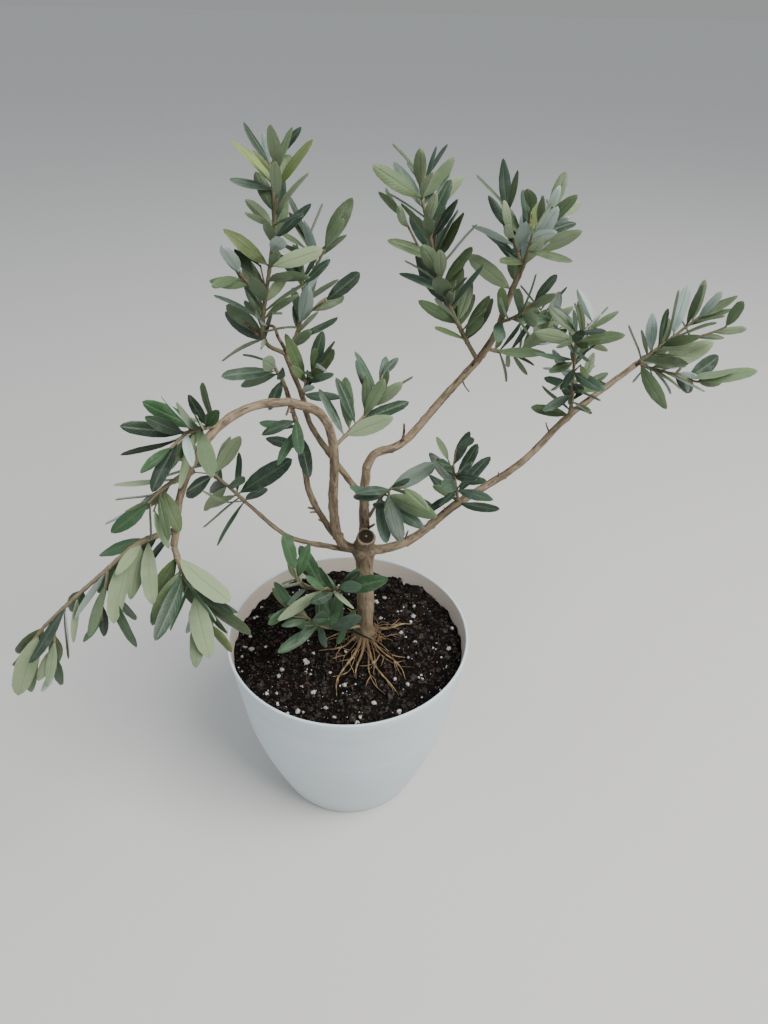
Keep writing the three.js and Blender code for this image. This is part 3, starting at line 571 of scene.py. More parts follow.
def limb(course, radius_at, sides, step):
    """A round limb with closed ends; radius_at takes a share of the length and an angle about the limb"""
    rings = max(int(course.length / step), 2)
    profile = [(0, 0)] + [(1, course.length * i / rings) for i in range(rings + 1)] + [(0, course.length)]
    bm = spun(profile, sides)
    frames = {}
    for vert in bm.verts:
        x, y, along = vert.co
        if along not in frames:
            frames[along] = course.smooth(along)
        centre, across, up = frames[along]
        radius = radius_at(along / course.length, math.atan2(y, x))
        vert.co = centre + (across * x + up * y) * radius
    bmesh.ops.recalc_face_normals(bm, faces=bm.faces)
    return bm


def ball(levels, radius, at=(0, 0, 0)):
    bm = bmesh.new()
    bmesh.ops.create_icosphere(bm, subdivisions=levels, radius=radius)
    bmesh.ops.translate(bm, vec=at, verts=bm.verts)
    return bm


def joined(parts):
    """One bmesh of several, which are freed"""
    whole = bmesh.new()
    for part in parts:
        mesh = bpy.data.meshes.new("part")
        part.to_mesh(mesh)
        part.free()
        whole.from_mesh(mesh)
        bpy.data.meshes.remove(mesh)
    return whole


# The turns that a lump or a curl is drawn from, in radians, and how uneven a lump is.
ANY_TURN = (0, 6.3)
LUMP_RANGE = (0.62, 1.3)


def grains(count, place, size, levels, rng, squash):
    """Many small lumps from one ball: place gives each its spot, and size its radius"""
    round_lump = ball(levels, 1)
    round_lump.verts.index_update()
    corners = np.array([vert.co[:] for vert in round_lump.verts])
    faces = np.array([[vert.index for vert in face.verts] for face in round_lump.faces])
    round_lump.free()
    points, polygons = [], []
    for i in range(count):
        spot, radius = place(), size()
        turn = np.array(Matrix.Rotation(rng.uniform(*ANY_TURN), 3, Vector(rng.normal(size=3))))
        lump = corners * rng.uniform(*LUMP_RANGE, (len(corners), 1)) * np.array(squash)
        points.append(spot + radius * lump @ turn.T)
        polygons.append(faces + i * len(corners))
    mesh = bpy.data.meshes.new("grains")
    mesh.from_pydata(np.concatenate(points) * MM, [], np.concatenate(polygons).tolist())
    return mesh


def finish_piece(name, shape, looks, nodes=(), sharp=None):
    """Makes an object of a bmesh or a mesh, and ties it to the frame"""
    if isinstance(shape, bmesh.types.BMesh):
        bmesh.ops.scale(shape, vec=(MM,) * 3, verts=shape.verts)
        mesh = bpy.data.meshes.new(name)
        shape.to_mesh(mesh)
        shape.free()
    else:
        mesh = shape
        mesh.name = name
    for look in looks:
        mesh.materials.append(look.material)
    mesh.shade_smooth()
    if sharp:
        mesh.set_sharp_from_angle(angle=math.radians(sharp))
    piece = bpy.data.objects.new(name, mesh)
    bpy.context.scene.collection.objects.link(piece)
    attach(piece, "root")
    if nodes:
        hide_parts(*nodes)
    return piece


# Pot

POT_EDGE = 1.1
POT_RING = 6
POT_HOLLOW = 1.2
POT_FLOOR = 3
POT_SWELL = 1.36
POT_LIP = 9
POT_SIDES = 144


def pot_radius(height):
    """Outer radius: it swells to the belly, then widens straight to the rim"""
    pot = bpy.context.scene.olive_pot
    foot, belly, rim = pot.foot_radius / MM, pot.belly_radius / MM, pot.rim_radius / MM
    turn, top = pot.belly_height / MM, pot.height / MM
    share = height / turn
    if share < 1:
        return foot + (belly - foot) * (1 - (1 - share) ** POT_SWELL)
    return lerp(belly, rim, (height - turn) / (top - turn))


def pot_look(name, color):
    look = Look(name, Specular_IOR_Level=0.42, IOR=1.46)
    streaks = look.clouds(look.place((2.2, 2.2, 90)), 1.4, 4, 0.6)
    haze = look.clouds(look.place(), 16, 3, 0.5)
    specks = look.cells(look.place(), 420).span(0.11, 0.06)
    dust = look.clouds(look.place(), 60, 4, 0.7).span(0.52, 0.78)
    tone = look.mix(streaks.span(0.3, 0.75), scaled(color, 0.93), color)
    tone = look.mix(haze.span(0.42, 0.75) * 0.35, tone, (0.62, 0.66, 0.72))
    tone = look.mix(specks * dust * 0.45, tone, (0.30, 0.27, 0.24))
    return look.surface(tone, 0.30 + streaks * 0.16 + dust * 0.12, streaks * 0.6 + haze, 0.0004, 0.35)


class OliveAddPot(Operator):
    """Turn the pot, with its rounded rim and its foot"""
    bl_idname = "olive.add_pot"
    bl_label = "Pot"

    def execute(self, context):
        settings = context.scene.olive_pot
        top, wall = settings.height / MM, settings.wall / MM
        foot, belly_height = settings.foot_radius / MM, settings.belly_height / MM
        heights = [*np.linspace(POT_FLOOR, belly_height, 12)]
        heights += [*np.linspace(belly_height, top - POT_LIP, 5)[1:]]
        outer = [(pot_radius(height), height) for height in heights]
        profile = [(0, POT_HOLLOW), (foot - POT_RING - 1, POT_HOLLOW), (foot - POT_RING, 0)]
        profile += [(foot - POT_EDGE, 0), (foot - 0.3, 0.35), (foot + 0.15, POT_HOLLOW), *outer]
        rim = pot_radius(top)
        middle, round_edge = rim - wall / 2, wall / 2
        for turn in range(0, 181, 30):
            angle = math.radians(turn)
            profile.append((middle + round_edge * math.cos(angle), top - round_edge * (1 - math.sin(angle))))
        profile += [(radius - wall, height) for radius, height in reversed(outer)]
        profile += [(pot_radius(POT_FLOOR) - wall - 1.5, POT_FLOOR), (0, POT_FLOOR)]
        shell = spun(profile, POT_SIDES)
        for face in shell.faces:
            x, y, z = face.calc_center_median()
            inside = z > POT_FLOOR - 1 and face.normal.dot((x, y, 0)) < 0 and z < top - wall
            face.material_index = int(inside)
        looks = [pot_look("white_plastic", settings.color), pot_look("inner_wall", settings.inner)]
        finish_piece("white_pot", shell, looks, ["pot"], sharp=50)
        return {"FINISHED"}


# Soil

SOIL_FLAT_RADIUS = 14
SOIL_ROUGHNESS = 0.9
SOIL_GAP = 0.3
SOIL_BOTTOM = 3.4
MOUND_RADIUS = 60
SOIL_SIDES = 220
SOIL_RINGS = 62
# Clods by size and rise, which start off the trunk, grit by size, layer of the noise and rise, and a ridge
# along the pot.
CLOD_SIZE, CLOD_RISE = 9, 2.7
CLODS_FROM_TRUNK = 9
GRIT = ((2.6, 8.7, 1.1), (1.2, 1.3, 0.4))
RIDGE_RADIUS, RIDGE_WIDTH, RIDGE_RISE = 86, 5, 0.9
# Loose pieces lie within this radius, off the trunk and off the roots.
LOOSE_REACH = 91.5
LOOSE_FROM_TRUNK = 13
LOOSE_FROM_ROOTS = 2.6
# Half the depth of the soil, over which some kinds grow rarer towards the back.
LOOSE_DEPTH = 92
# The loose pieces, by the setting that holds their number: material, light and dark colour, roughness, scale,
# radius as its least, range and power of the draw, depth sunk, levels of the ball, squash, how much they keep
# to the front, and the angle past which an edge is sharp.
LOOSE = {
    "soil_crumbs": ("crumbs", "peat_crumb", (0.066, 0.055, 0.047), (0.0022, 0.0018, 0.0016), 0.9, 420,
                    (0.35, 1.5, 2.4), -0.1, 1, (1, 0.75, 0.6), 0, 25),
    "soil_clumps": ("clumps", "peat_clump", (0.070, 0.058, 0.049), (0.0025, 0.0020, 0.0018), 0.9, 330,
                    (1.5, 2.1, 1.6), 0.3, 2, (1, 0.8, 0.6), 0, 25),
    "soil_fibres": ("fibres", "peat_fibre", (0.105, 0.072, 0.060), (0.024, 0.015, 0.012), 0.9, 600,
                    (0.5, 1.2, 1), 0, 1, (1, 0.3, 0.3), 0, 25),
    "bark_chips": ("chips", "red_bark", (0.105, 0.052, 0.036), (0.030, 0.015, 0.011), 0.75, 600,
                   (1.1, 2, 1), 0.1, 1, (1, 0.6, 0.28), 0, 25),
    "perlite": ("perlite", "perlite_grain", (0.58, 0.57, 0.56), (0.28, 0.265, 0.25), 0.7, 700,
                (0.34, 2, 3.2), -0.2, 2, (1, 0.9, 0.8), 0.75, None),
}


def from_trunk(x, y):
    return math.hypot(x - TRUNK[0][0], y - TRUNK[0][1])


def beside(place, angle, away):
    """A spot at an angle and a distance from a place, seen from above"""
    return place[0] + away * math.cos(angle), place[1] + away * math.sin(angle)


def soil_height(x, y):
    """Height of the soil's even surface"""
    soil = bpy.context.scene.olive_soil
    away = max(from_trunk(x, y) - SOIL_FLAT_RADIUS, 0)
    rough = SOIL_ROUGHNESS * math.sin(0.23 * x + 1) * math.sin(0.19 * y) * min(away / 20, 1)
    return soil.edge_height / MM + soil.mound / MM * max(1 - away / MOUND_RADIUS, 0) ** 2 + rough


def clod_height(x, y, roots):
    """Clods and hollows on the soil, as a height over its even surface; it is low where roots run"""
    clods = noise.fractal((x / CLOD_SIZE, y / CLOD_SIZE, 4.2), 0.8, 2.1, 4) * CLOD_RISE
    grit = sum(noise.noise((x / size, y / size, layer)) * rise for size, layer, rise in GRIT)
    ridge = RIDGE_RISE * math.exp(-((math.hypot(x, y) - RIDGE_RADIUS) / RIDGE_WIDTH) ** 2)
    ridge *= noise.noise((x / CLOD_SIZE, y / CLOD_SIZE, 2)) + 0.4
    height = (clods + grit) * min(max((from_trunk(x, y) - CLODS_FROM_TRUNK) / 8, 0.15), 1) + ridge
    room = min(max(roots.find((x, y, 0))[2] / ROOT_ROOM - 0.3, 0), 1)
    return lerp(min(height, 0) * 0.5 - 0.9, height, room)


def root_course(heading, bend, length):
    """The course of a root that slopes off the flare and then runs half sunk in the soil"""
    points = []
    for i in range(ROOT_STEPS + 1):
        share = i / ROOT_STEPS
        angle = math.radians(heading + bend * share ** 2 + ROOT_WIGGLE * math.sin(5 * share + heading))
        away = lerp(ROOT_START, length, share)
        x, y = beside(TRUNK[1], angle, away)
        rise = max(1 - (away - ROOT_START) / ROOT_RISE_LENGTH, 0) * ROOT_RISE
        points.append((x, y, soil_height(x, y) + rise))
    return Course(points, UP)


def root_tree():
    """The roots' courses seen from above"""
    ways = [root_course(*row[:3]) for row in (*ROOTS.values(), *ROOTLETS)]
    points = [point for way in ways for point in way.line]
    tree = kdtree.KDTree(len(points))
    for i, (x, y, _) in enumerate(points):
        tree.insert((x, y, 0), i)
    tree.balance()
    return tree


def soil_look():
    soil = bpy.context.scene.olive_soil.color
    look = Look("peat_with_painted_shade", Specular_IOR_Level=0.08)
    own = look.place()
    crumbs = look.cells(own, 520)
    fibres = look.clouds(look.place((1, 2.6, 1)), 240, 5, 0.65, 1.2)
    patches = look.clouds(own, 42, 4, 0.6)
    # Near-black tones of the peat: its own dark colour, deepened as painted shade in the gaps between the
    # crumbs.
    tone = look.mix(fibres.span(0.36, 0.72), scaled(soil, 0.35), scaled(soil, 1.9))
    tone = look.mix(patches.span(0.52, 0.74) * 0.5, tone, (0.034, 0.019, 0.013))
    tone = look.mix(crumbs.span(0.30, 0.06) * fibres.span(0.5, 0.7), tone, (0.050, 0.033, 0.022))
    height = fibres + crumbs * 0.8 + look.clouds(own, 900, 2)
    return look.surface(tone, 0.78 + patches * 0.3, height, 0.0011, 0.9)


def grain_look(name, color, dark, roughness, scale):
    """A look for many small lumps of one kind"""
    look = Look(name, Specular_IOR_Level=0.05)
    own = look.place()
    spots = look.clouds(own, scale, 4, 0.65)
    tone = look.mix(spots.span(0.33, 0.68), dark, color)
    shade = look.clouds(own, 110, 3, 0.6).span(0.40, 0.62)
    tone = look.mix(shade * 0.55, tone, scaled(color, 0.25))
    height = spots + look.cells(own, scale * 2.2) * 0.5
    return look.surface(tone, roughness + spots * 0.15, height, 0.0005, 0.6)


class OliveAddSoil(Operator):
    """Fill the pot with soil, crumbs, bark chips and white grains"""
    bl_idname = "olive.add_soil"
    bl_label = "Soil"

    def execute(self, context):
        settings = context.scene.olive_soil
        wall = context.scene.olive_pot.wall / MM

        def inner(height):
            return pot_radius(height) - wall - SOIL_GAP

        edge = settings.edge_height / MM
        profile = [(0, SOIL_BOTTOM), (inner(8) - 3, SOIL_BOTTOM)]
        profile += [(inner(height), height) for height in (8, 20, 35, 55, 90, 125, edge - 2)]
        reach = inner(edge)
        profile += [(reach * (1 - i / SOIL_RINGS) ** 0.9, edge) for i in range(SOIL_RINGS + 1)]
        bed = spun(profile, SOIL_SIDES)
        roots = root_tree()
        for vert in bed.verts:
            x, y, z = vert.co
            if z > edge - 1:
                vert.co.z = soil_height(x, y) + clod_height(x, y, roots)
        finish_piece("soil_bed", bed, [soil_look()], ["soil"], sharp=70)
        rng = np.random.default_rng(11)
        for name, (number, material, color, dark, roughness, scale, radii, sunk, levels, squash, front,
                   sharp) in LOOSE.items():

            def place():
                while True:
                    angle = rng.uniform(0, 2 * math.pi)
                    x, y = beside((0, 0), angle, LOOSE_REACH * math.sqrt(rng.uniform(0, 1)))
                    off_roots = roots.find((x, y, 0))[2] > LOOSE_FROM_ROOTS
                    clear = from_trunk(x, y) > LOOSE_FROM_TRUNK and off_roots
                    if clear and rng.uniform() < 1 - front * (y + LOOSE_DEPTH) / (2 * LOOSE_DEPTH):
                        return np.array((x, y, soil_height(x, y) + clod_height(x, y, roots) - sunk))

            def size():
                return radii[0] + radii[1] * rng.uniform() ** radii[2]

            lumps = grains(getattr(settings, number), place, size, levels, rng, squash)
            look = grain_look(material, color, dark, roughness, scale)
            finish_piece(name, lumps, [look], sharp=sharp)
        return {"FINISHED"}


# Roots

# Fine roots: side roots, then fibres and thick curls round the trunk's foot. Each pair is a range to draw
# from: where they start, how long they are, how far they lift off the soil and how thick they are.
FORK_SPAN, FORK_LENGTH = (0.35, 0.85), (8, 18)
FIBRES = 36
FIBRE_START, FIBRE_LENGTH, FIBRE_LIFT, FIBRE_RADIUS = (8.5, 17), (9, 26), (0.6, 3.2), (0.22, 0.5)
CURLS = 40
CURL_HEADING, CURL_START, CURL_LENGTH = (-0.75, 0.85), (8, 15), (4, 8)
CURL_LIFT, CURL_RADIUS = (1, 4), (0.55, 1.2)
THREAD_STEPS = 4
THREAD_RISE, THREAD_END = 0.2, -0.6
# Peat stains the roots near the trunk: wholly within the first distance, and not past the second.
ROOT_EARTHY = (0.012, 0.030)
ROOT_EARTH = (0.070, 0.040, 0.021)


def root_look(name, color, dark):
    look = Look(name, Specular_IOR_Level=0.3)
    own = look.place()
    grain = look.clouds(own, 210, 4, 0.6, 0.6)
    fine = look.clouds(own, 900, 3)
    tone = look.mix(grain.span(0.35, 0.66), dark, color)
    # Fine flecks of pale tan: painted highlight.
    tone = look.mix(fine.span(0.56, 0.8) * 0.4, tone, (0.40, 0.31, 0.18))
    x, y = TRUNK[1][:2]
    away = look.length(look.place(at=scaled((x, y, soil_height(x, y)), MM)))
    tone = look.mix(away.span(ROOT_EARTHY[1], ROOT_EARTHY[0]) * 0.85, tone, ROOT_EARTH)
    return look.surface(tone, 0.62 + grain * 0.25, grain + fine * 0.5, 0.0006, 0.7)


def thread(rng, start, heading, length, lift, curl):
    """A fine root: a wandering line that lifts off the soil and ends in it"""
    points, angle = [], heading
    x, y = start
    for i in range(THREAD_STEPS + 1):
        rise = lift * math.sin(math.pi * i / THREAD_STEPS) if i < THREAD_STEPS else THREAD_END
        points.append((x, y, soil_height(x, y) + rise + THREAD_RISE))
        angle += rng.uniform(-curl, curl)
        x, y = beside((x, y), angle, length / THREAD_STEPS)
    return Course(points, UP)


class OliveAddRoots(Operator):
    """Lay the surface roots, their side roots and the fine fibres on the soil"""
    bl_idname = "olive.add_roots"
    bl_label = "Roots"

    def execute(self, context):
        rng = np.random.default_rng(5)
        main, fibres = [], []
        for heading, bend, length, thick in (*ROOTS.values(), *ROOTLETS):
            course = root_course(heading, bend, length)
            shift = rng.uniform(0, 50)

            def radius_at(share, angle):
                lumps = noise.noise((6 * share + shift, math.cos(angle), math.sin(angle)))
                slim = (1 - 0.3 * min(3 * share, 1)) * (1 - 0.5 * share ** 4)
                return lerp(thick[0], thick[1], share) / 2 * (1.06 + 0.34 * lumps) * slim

            main.append(limb(course, radius_at, 12, 1.2))
            for _ in range(rng.integers(1, 3)):
                centre = course.frame(course.length * rng.uniform(*FORK_SPAN))[0]
                side = math.radians(heading) + rng.choice((-1, 1)) * rng.uniform(0.3, 0.7)
                fork = thread(rng, centre[:2], side, rng.uniform(*FORK_LENGTH), 0.4, 0.5)
                fibres.append(limb(fork, lambda share, angle: 0.48 - 0.3 * share, 6, 2))
        for _ in range(FIBRES):
            heading = rng.uniform(0, 2 * math.pi)
            start = beside(TRUNK[0], heading, rng.uniform(*FIBRE_START))
            heading += rng.uniform(-1, 1)
            fibre = thread(rng, start, heading, rng.uniform(*FIBRE_LENGTH), rng.uniform(*FIBRE_LIFT), 0.7)
            thin = rng.uniform(*FIBRE_RADIUS)
            fibres.append(limb(fibre, lambda share, angle: thin * (1 - 0.5 * share), 5, 2))
        for _ in range(CURLS):
            start = beside(TRUNK[0], rng.uniform(*CURL_HEADING), rng.uniform(*CURL_START))
            heading = rng.uniform(*ANY_TURN)
            curl = thread(rng, start, heading, rng.uniform(*CURL_LENGTH), rng.uniform(*CURL_LIFT), 1.5)
            thin = rng.uniform(*CURL_RADIUS)
            main.append(limb(curl, lambda share, angle: thin * (1.1 - 0.5 * share), 8, 0.8))
        bark = root_look("root_bark", context.scene.olive_wood.root, (0.085, 0.055, 0.028))
        finish_piece("surface_roots", joined(main), [bark], ROOTS)
        pale = root_look("root_fibre", (0.26, 0.175, 0.10), (0.10, 0.058, 0.034))
        finish_piece("fine_roots", joined(fibres), [pale])
        return {"FINISHED"}


# Trunk and boughs

WOOD_SMOOTHING = 3
WOOD_SINK = 0.0008
# Old leaf scars: their step along a bough, the share left out, and their size and depth as shares.
KNOT_STEP = 15
KNOTS_MISSING = 0.3
KNOT_SIZE = (0.26, 0.46)
KNOT_DEPTH = 0.25
# The faces of the sawn end: within a reach and a depth of its middle, and by how far they face its way.
SAWN_REACH, SAWN_DEPTH, SAWN_FACING = 0.0088, 0.002, 0.55
# The bark's relief: the scale and the share of its folds and its lumps, and the height over which it starts.
RELIEF_FOLDS, RELIEF_LUMPS = (520, 0.55), (160, 0.7)
RELIEF_START = 0.003
# The grain's own coordinates: across a limb as they are, along it drawn together, and set apart limb by limb.
GRAIN_STEP = 1.2
GRAIN_RUN = 0.24
GRAIN_SHIFT = 40


def bough_radius(thick, shift):
    """The radius of a bough, a little uneven along it and round it"""
    def radius_at(share, angle):
        swell = noise.noise((7 * share + shift, 0.6 * math.cos(angle), 0.6 * math.sin(angle)))
        return lerp(thick[0], thick[1], share) / 2 * (1 + 0.10 * swell)
    return radius_at


def knots(course, thick, rng):
    """Old leaf scars: small swellings in crossed pairs along a bough"""
    lumps, along, turn = [], rng.uniform(5, KNOT_STEP), rng.uniform(0, 3)
    while along < course.length - 4:
        centre, across, up = course.smooth(along)
        radius = lerp(thick[0], thick[1], along / course.length) / 2
        for side in (0, math.pi):
            if rng.uniform() < KNOTS_MISSING:
                continue
            out = across * math.cos(turn + side) + up * math.sin(turn + side)
            size = radius * rng.uniform(*KNOT_SIZE)
            lumps.append(ball(2, size, centre + out * (radius - KNOT_DEPTH * size)))
        along += KNOT_STEP * rng.uniform(0.6, 1.4)
        turn += math.pi / 2 + rng.uniform(-0.3, 0.3)
    return lumps


def trunk_parts():
    """The trunk with its flare, the swollen fork and the sawn stump"""
    course = Course(TRUNK)
    ground = bpy.context.scene.olive_soil

    def radius_at(share, angle):
        above = share * course.length - ((ground.edge_height + ground.mound) / MM - TRUNK[0][2])
        flare = max(1 - max(above, 0) / FLARE_HEIGHT, 0) ** 2
        ribs = FLARE_RIB_DEPTH * flare * (1 + math.cos(FLARE_RIBS * angle + 1))
        swell = TRUNK_UNEVENNESS * noise.noise((5 * share, math.cos(angle), math.sin(angle)))
        crotch = CROTCH_SWELL * max(1 - (1 - share) * course.length / CROTCH_LENGTH, 0) ** 2
        return TRUNK_RADIUS + (FLARE_RADIUS - TRUNK_RADIUS) * flare + ribs + swell + crotch

    stump = limb(Course(STUMP), lambda share, angle: STUMP_RADIUS * (1 + 0.06 * math.cos(3 * angle)), 24, 2)
    return [limb(course, radius_at, 32, 2), ball(4, FORK_RADIUS, FORK_CENTRE), stump]


def bark_look(settings):
    look = Look("olive_bark", Specular_IOR_Level=0.3)
    own, grain = look.place(), look.attribute("grain", "Vector")
    bark, dark = settings.bark, settings.bark_dark
    folds = look.clouds(grain, 420, 5, 0.62, 0.4)
    patches = look.clouds(own, 46, 4, 0.6)
    pores = look.cells(grain, 300).span(0.30, 0.12)
    scales = look.clouds(grain, 1300, 3, 0.6)
    height = look.axis(own, 2)
    tone = look.mix(folds.span(0.36, 0.60), tuple(lerp(d, b, 0.32) for d, b in zip(dark, bark)), bark)
    tone = look.mix(patches.span(0.48, 0.72) * 0.6, tone, (0.33, 0.245, 0.165))
    tone = look.mix(patches.span(0.47, 0.28) * 0.55, tone, (0.13, 0.092, 0.056))
    tone = look.mix(height.span(0.26, 0.20) * 0.35, tone, (0.28, 0.215, 0.13))
    tone = look.mix(height.span(0.166, 0.148) * folds.span(0.35, 0.55) * 0.7, tone, ROOT_EARTH)
    tone = look.mix(pores * scales.span(0.42, 0.6) * 0.85, tone, dark)
    tone = look.mix(scales.span(0.58, 0.8) * 0.25, tone, (0.42, 0.335, 0.24))
    return look.surface(tone, 0.66 + folds * 0.25, folds * 1.1 + scales * 0.35 - pores * 0.6, 0.0012, 0.9)


def sawn_look():
    """The end of the sawn leader: dark rings, a pale pith and a pale ring of bark"""
    look = Look("sawn_wood", Specular_IOR_Level=0.25)
    own = look.place(at=scaled(STUMP[-1], MM))
    away = look.length(own) + look.clouds(own, 300, 2) * 0.0009
    rings = (away * 5200).sine()
    cracks = look.clouds(own, 800, 4, 0.7)
    tone = look.mix(rings.span(-1, 1), (0.020, 0.014, 0.010), (0.060, 0.042, 0.028))
    tone = look.mix(cracks.span(0.55, 0.72) * 0.6, tone, (0.12, 0.09, 0.06))
    tone = look.mix(away.span(0.0016, 0.0009), tone, (0.30, 0.26, 0.20))
    tone = look.mix(away.span(0.0056, 0.0064), tone, (0.34, 0.26, 0.17))
    return look.surface(tone, 0.75 + cracks * 0.2, rings * 0.3 + cracks, 0.0006, 0.8)


class OliveAddWood(Operator):
    """Grow the trunk and the boughs into one skin with the bark's relief, and set the dead stubs on it"""
    bl_idname = "olive.add_wood"
    bl_label = "Trunk and boughs"

    def execute(self, context):
        settings = context.scene.olive_wood
        rng = np.random.default_rng(3)
        courses = {name: Course(course) for name, (_, course) in BOUGHS.items()}
        parts = trunk_parts()
        for name, (thick, _) in BOUGHS.items():
            parts.append(limb(courses[name], bough_radius(thick, rng.uniform(0, 50)), 20, 1.6))
            parts += knots(courses[name], thick, rng)
        looks = [bark_look(settings), sawn_look()]
        piece = finish_piece("trunk_and_boughs", joined(parts), looks, ["trunk", *BOUGHS])
        skin = piece.modifiers.new("skin", "REMESH")
        skin.mode = "VOXEL"
        skin.voxel_size = settings.voxel
        mesh = bpy.data.meshes.new_from_object(piece.evaluated_get(context.evaluated_depsgraph_get()))
        piece.modifiers.clear()
        bm = bmesh.new()
        bm.from_mesh(mesh)
        bpy.data.meshes.remove(mesh)
        ground = context.scene.olive_soil.edge_height + context.scene.olive_soil.mound - WOOD_SINK
        bmesh.ops.bisect_plane(bm, geom=bm.verts[:] + bm.edges[:] + bm.faces[:], plane_co=(0, 0, ground),
                               plane_no=(0, 0, -1), clear_outer=True)
        bmesh.ops.holes_fill(bm, edges=[edge for edge in bm.edges if edge.is_boundary])
        above = [vert for vert in bm.verts if vert.co.z > ground + MM]
        axes = {"use_axis_x": True, "use_axis_y": True, "use_axis_z": True}
        for _ in range(WOOD_SMOOTHING):
            bmesh.ops.smooth_vert(bm, verts=above, factor=0.5, **axes)
        self.relieve(bm, courses, settings.relief, ground)
        self.saw(bm)
        bm.to_mesh(piece.data)
        bm.free()
        piece.data.shade_smooth()
        self.add_stubs(courses, rng)
        return {"FINISHED"}

    @staticmethod
    def add_stubs(courses, rng):
        """The dead stubs on the boughs, and the snags that stand on their own"""
        stubs = []
        for bough, share, aim, thick, length in STUBS:
            start = courses[bough].frame(share * courses[bough].length)[0]
            aim = unit(np.array(aim, float))
            bend = np.array((rng.uniform(-1, 1), rng.uniform(-1, 1), 0)) * length * 0.08
            points = [start, start + aim * (length * 0.5 + 2) + bend, start + aim * (length + 2.5)]

            def radius_at(share, angle):
                uneven = 0.22 * noise.noise((9 * share, math.cos(angle), thick))
                return thick / 2 * (1 - 0.35 * share) * (1 + uneven)

            stubs.append(limb(Course(points, np.array((0.3, -0.9, 0.2))), radius_at, 9, 0.8))
        for thick, points in SNAGS.values():
            radius_at = bough_radius((thick, thick * 0.55), rng.uniform(0, 50))
            stubs.append(limb(Course(points), radius_at, 9, 0.8))
        dead = root_look("dead_wood", (0.19, 0.125, 0.085), (0.035, 0.022, 0.016))
        finish_piece("dead_stubs", joined(stubs), [dead])

    @staticmethod
    def relieve(bm, courses, depth, ground):
        """Move the skin along its normals by a relief that runs with each limb, and keep the run as grain"""
        marks = []
        for rank, course in enumerate((Course(TRUNK), *courses.values())):
            for along in np.arange(0, course.length, GRAIN_STEP):
                centre, across, up = (Vector(part) for part in course.smooth(along))
                run = GRAIN_RUN * along + GRAIN_SHIFT * rank
                marks.append((centre * MM, across, up, up.cross(across) * GRAIN_RUN, run * MM))
        tree = kdtree.KDTree(len(marks))
        for i, mark in enumerate(marks):
            tree.insert(mark[0], i)
        tree.balance()
        layer = bm.verts.layers.float_vector.new("grain")
        bm.normal_update()
        moves = []
        for vert in bm.verts:
            centre, across, up, heading, run = marks[tree.find(vert.co)[1]]
            away = vert.co - centre
            grain = Vector((away.dot(across), away.dot(up), run + away.dot(heading)))
            vert[layer] = grain
            folds = RELIEF_FOLDS[1] * noise.fractal(grain * RELIEF_FOLDS[0], 0.8, 2.2, 3)
            lumps = RELIEF_LUMPS[1] * noise.noise(vert.co * RELIEF_LUMPS[0])
            held = min((vert.co.z - ground) / RELIEF_START, 1)
            moves.append(vert.normal * (depth * (folds + lumps) * held))
        for vert, move in zip(bm.verts, moves):
            vert.co += move

    @staticmethod
    def saw(bm):
        """Give the flat end of the sawn leader its own look"""
        stump = Course(STUMP)
        aim = Vector(stump.frame(stump.length)[1])
        for face in bm.faces:
            offset = face.calc_center_median() - Vector(STUMP[-1]) * MM
            flat = face.normal.dot(aim) > SAWN_FACING and abs(offset.dot(aim)) < SAWN_DEPTH
            face.material_index = int(flat and offset.length < SAWN_REACH)


# Foliage

def lean(heading, across, up, turn, open_angle):
    """A direction leaned from a heading, in the plane that a turn about the heading picks"""
    out = across * math.cos(turn) + up * math.sin(turn)
    return heading * math.cos(open_angle) + out * math.sin(open_angle)


def new_leaf(foot, heading, aim, size, width, bend, roll, shown, small=False):
    """A leaf: its foot, its aim, the way its upper face looks, and its sizes"""
    inward = unit(heading - aim * heading.dot(aim))
    level = unit(inward + (LIGHT - aim * LIGHT.dot(aim)) * shown)
    face = level * math.cos(roll) + np.cross(aim, level) * math.sin(roll)
    return {"foot": foot, "aim": aim, "face": face, "size": size, "width": width, "bend": bend,
            "small": small}


def grow_leaves(stem, plan, draw):
    """The leaves of a stem, in crossed pairs"""
    either = swaying(draw)
    leaves = []
    gaps = max(plan["pairs"] - 1, 1)
    for pair in range(plan["pairs"]):
        rank = pair / gaps
        place = plan["bare"] + (1 - plan["bare"]) * (pair + either(PAIR_SHIFT)) / gaps
        centre, heading, across, up = stem.frame(min(max(place, 0), 1) * stem.length)
        pair_turn = plan["turn"] + PAIR_TURN * pair + either(PAIR_TURN_RANGE)
        for side in (0, 180):
            turn = math.radians(pair_turn + side + either(LEAF_TURN_RANGE))
            spread = math.radians(lerp(*plan["open"], rank) + either(LEAF_OPEN_RANGE))
            size = plan["leaf"] * (1 - LEAF_TIP_SHRINK * rank * rank) * (1 + either(LEAF_SIZE_RANGE))
            width = size * (LEAF_WIDTH + either(LEAF_WIDTH_RANGE))
            bend = LEAF_BEND + either(LEAF_BEND_RANGE)
            roll = math.radians(either(LEAF_ROLL_RANGE))
            kept = draw() > LEAF_FALL
            shown = -LEAF_LIGHT if draw() < plan["pale"] else LEAF_LIGHT
            aim = unit(lean(heading, across, up, turn, spread) + UP * plan["lift"])
            if kept:
                leaves.append(new_leaf(centre, heading, aim, size, width, bend, roll, shown))
    return leaves


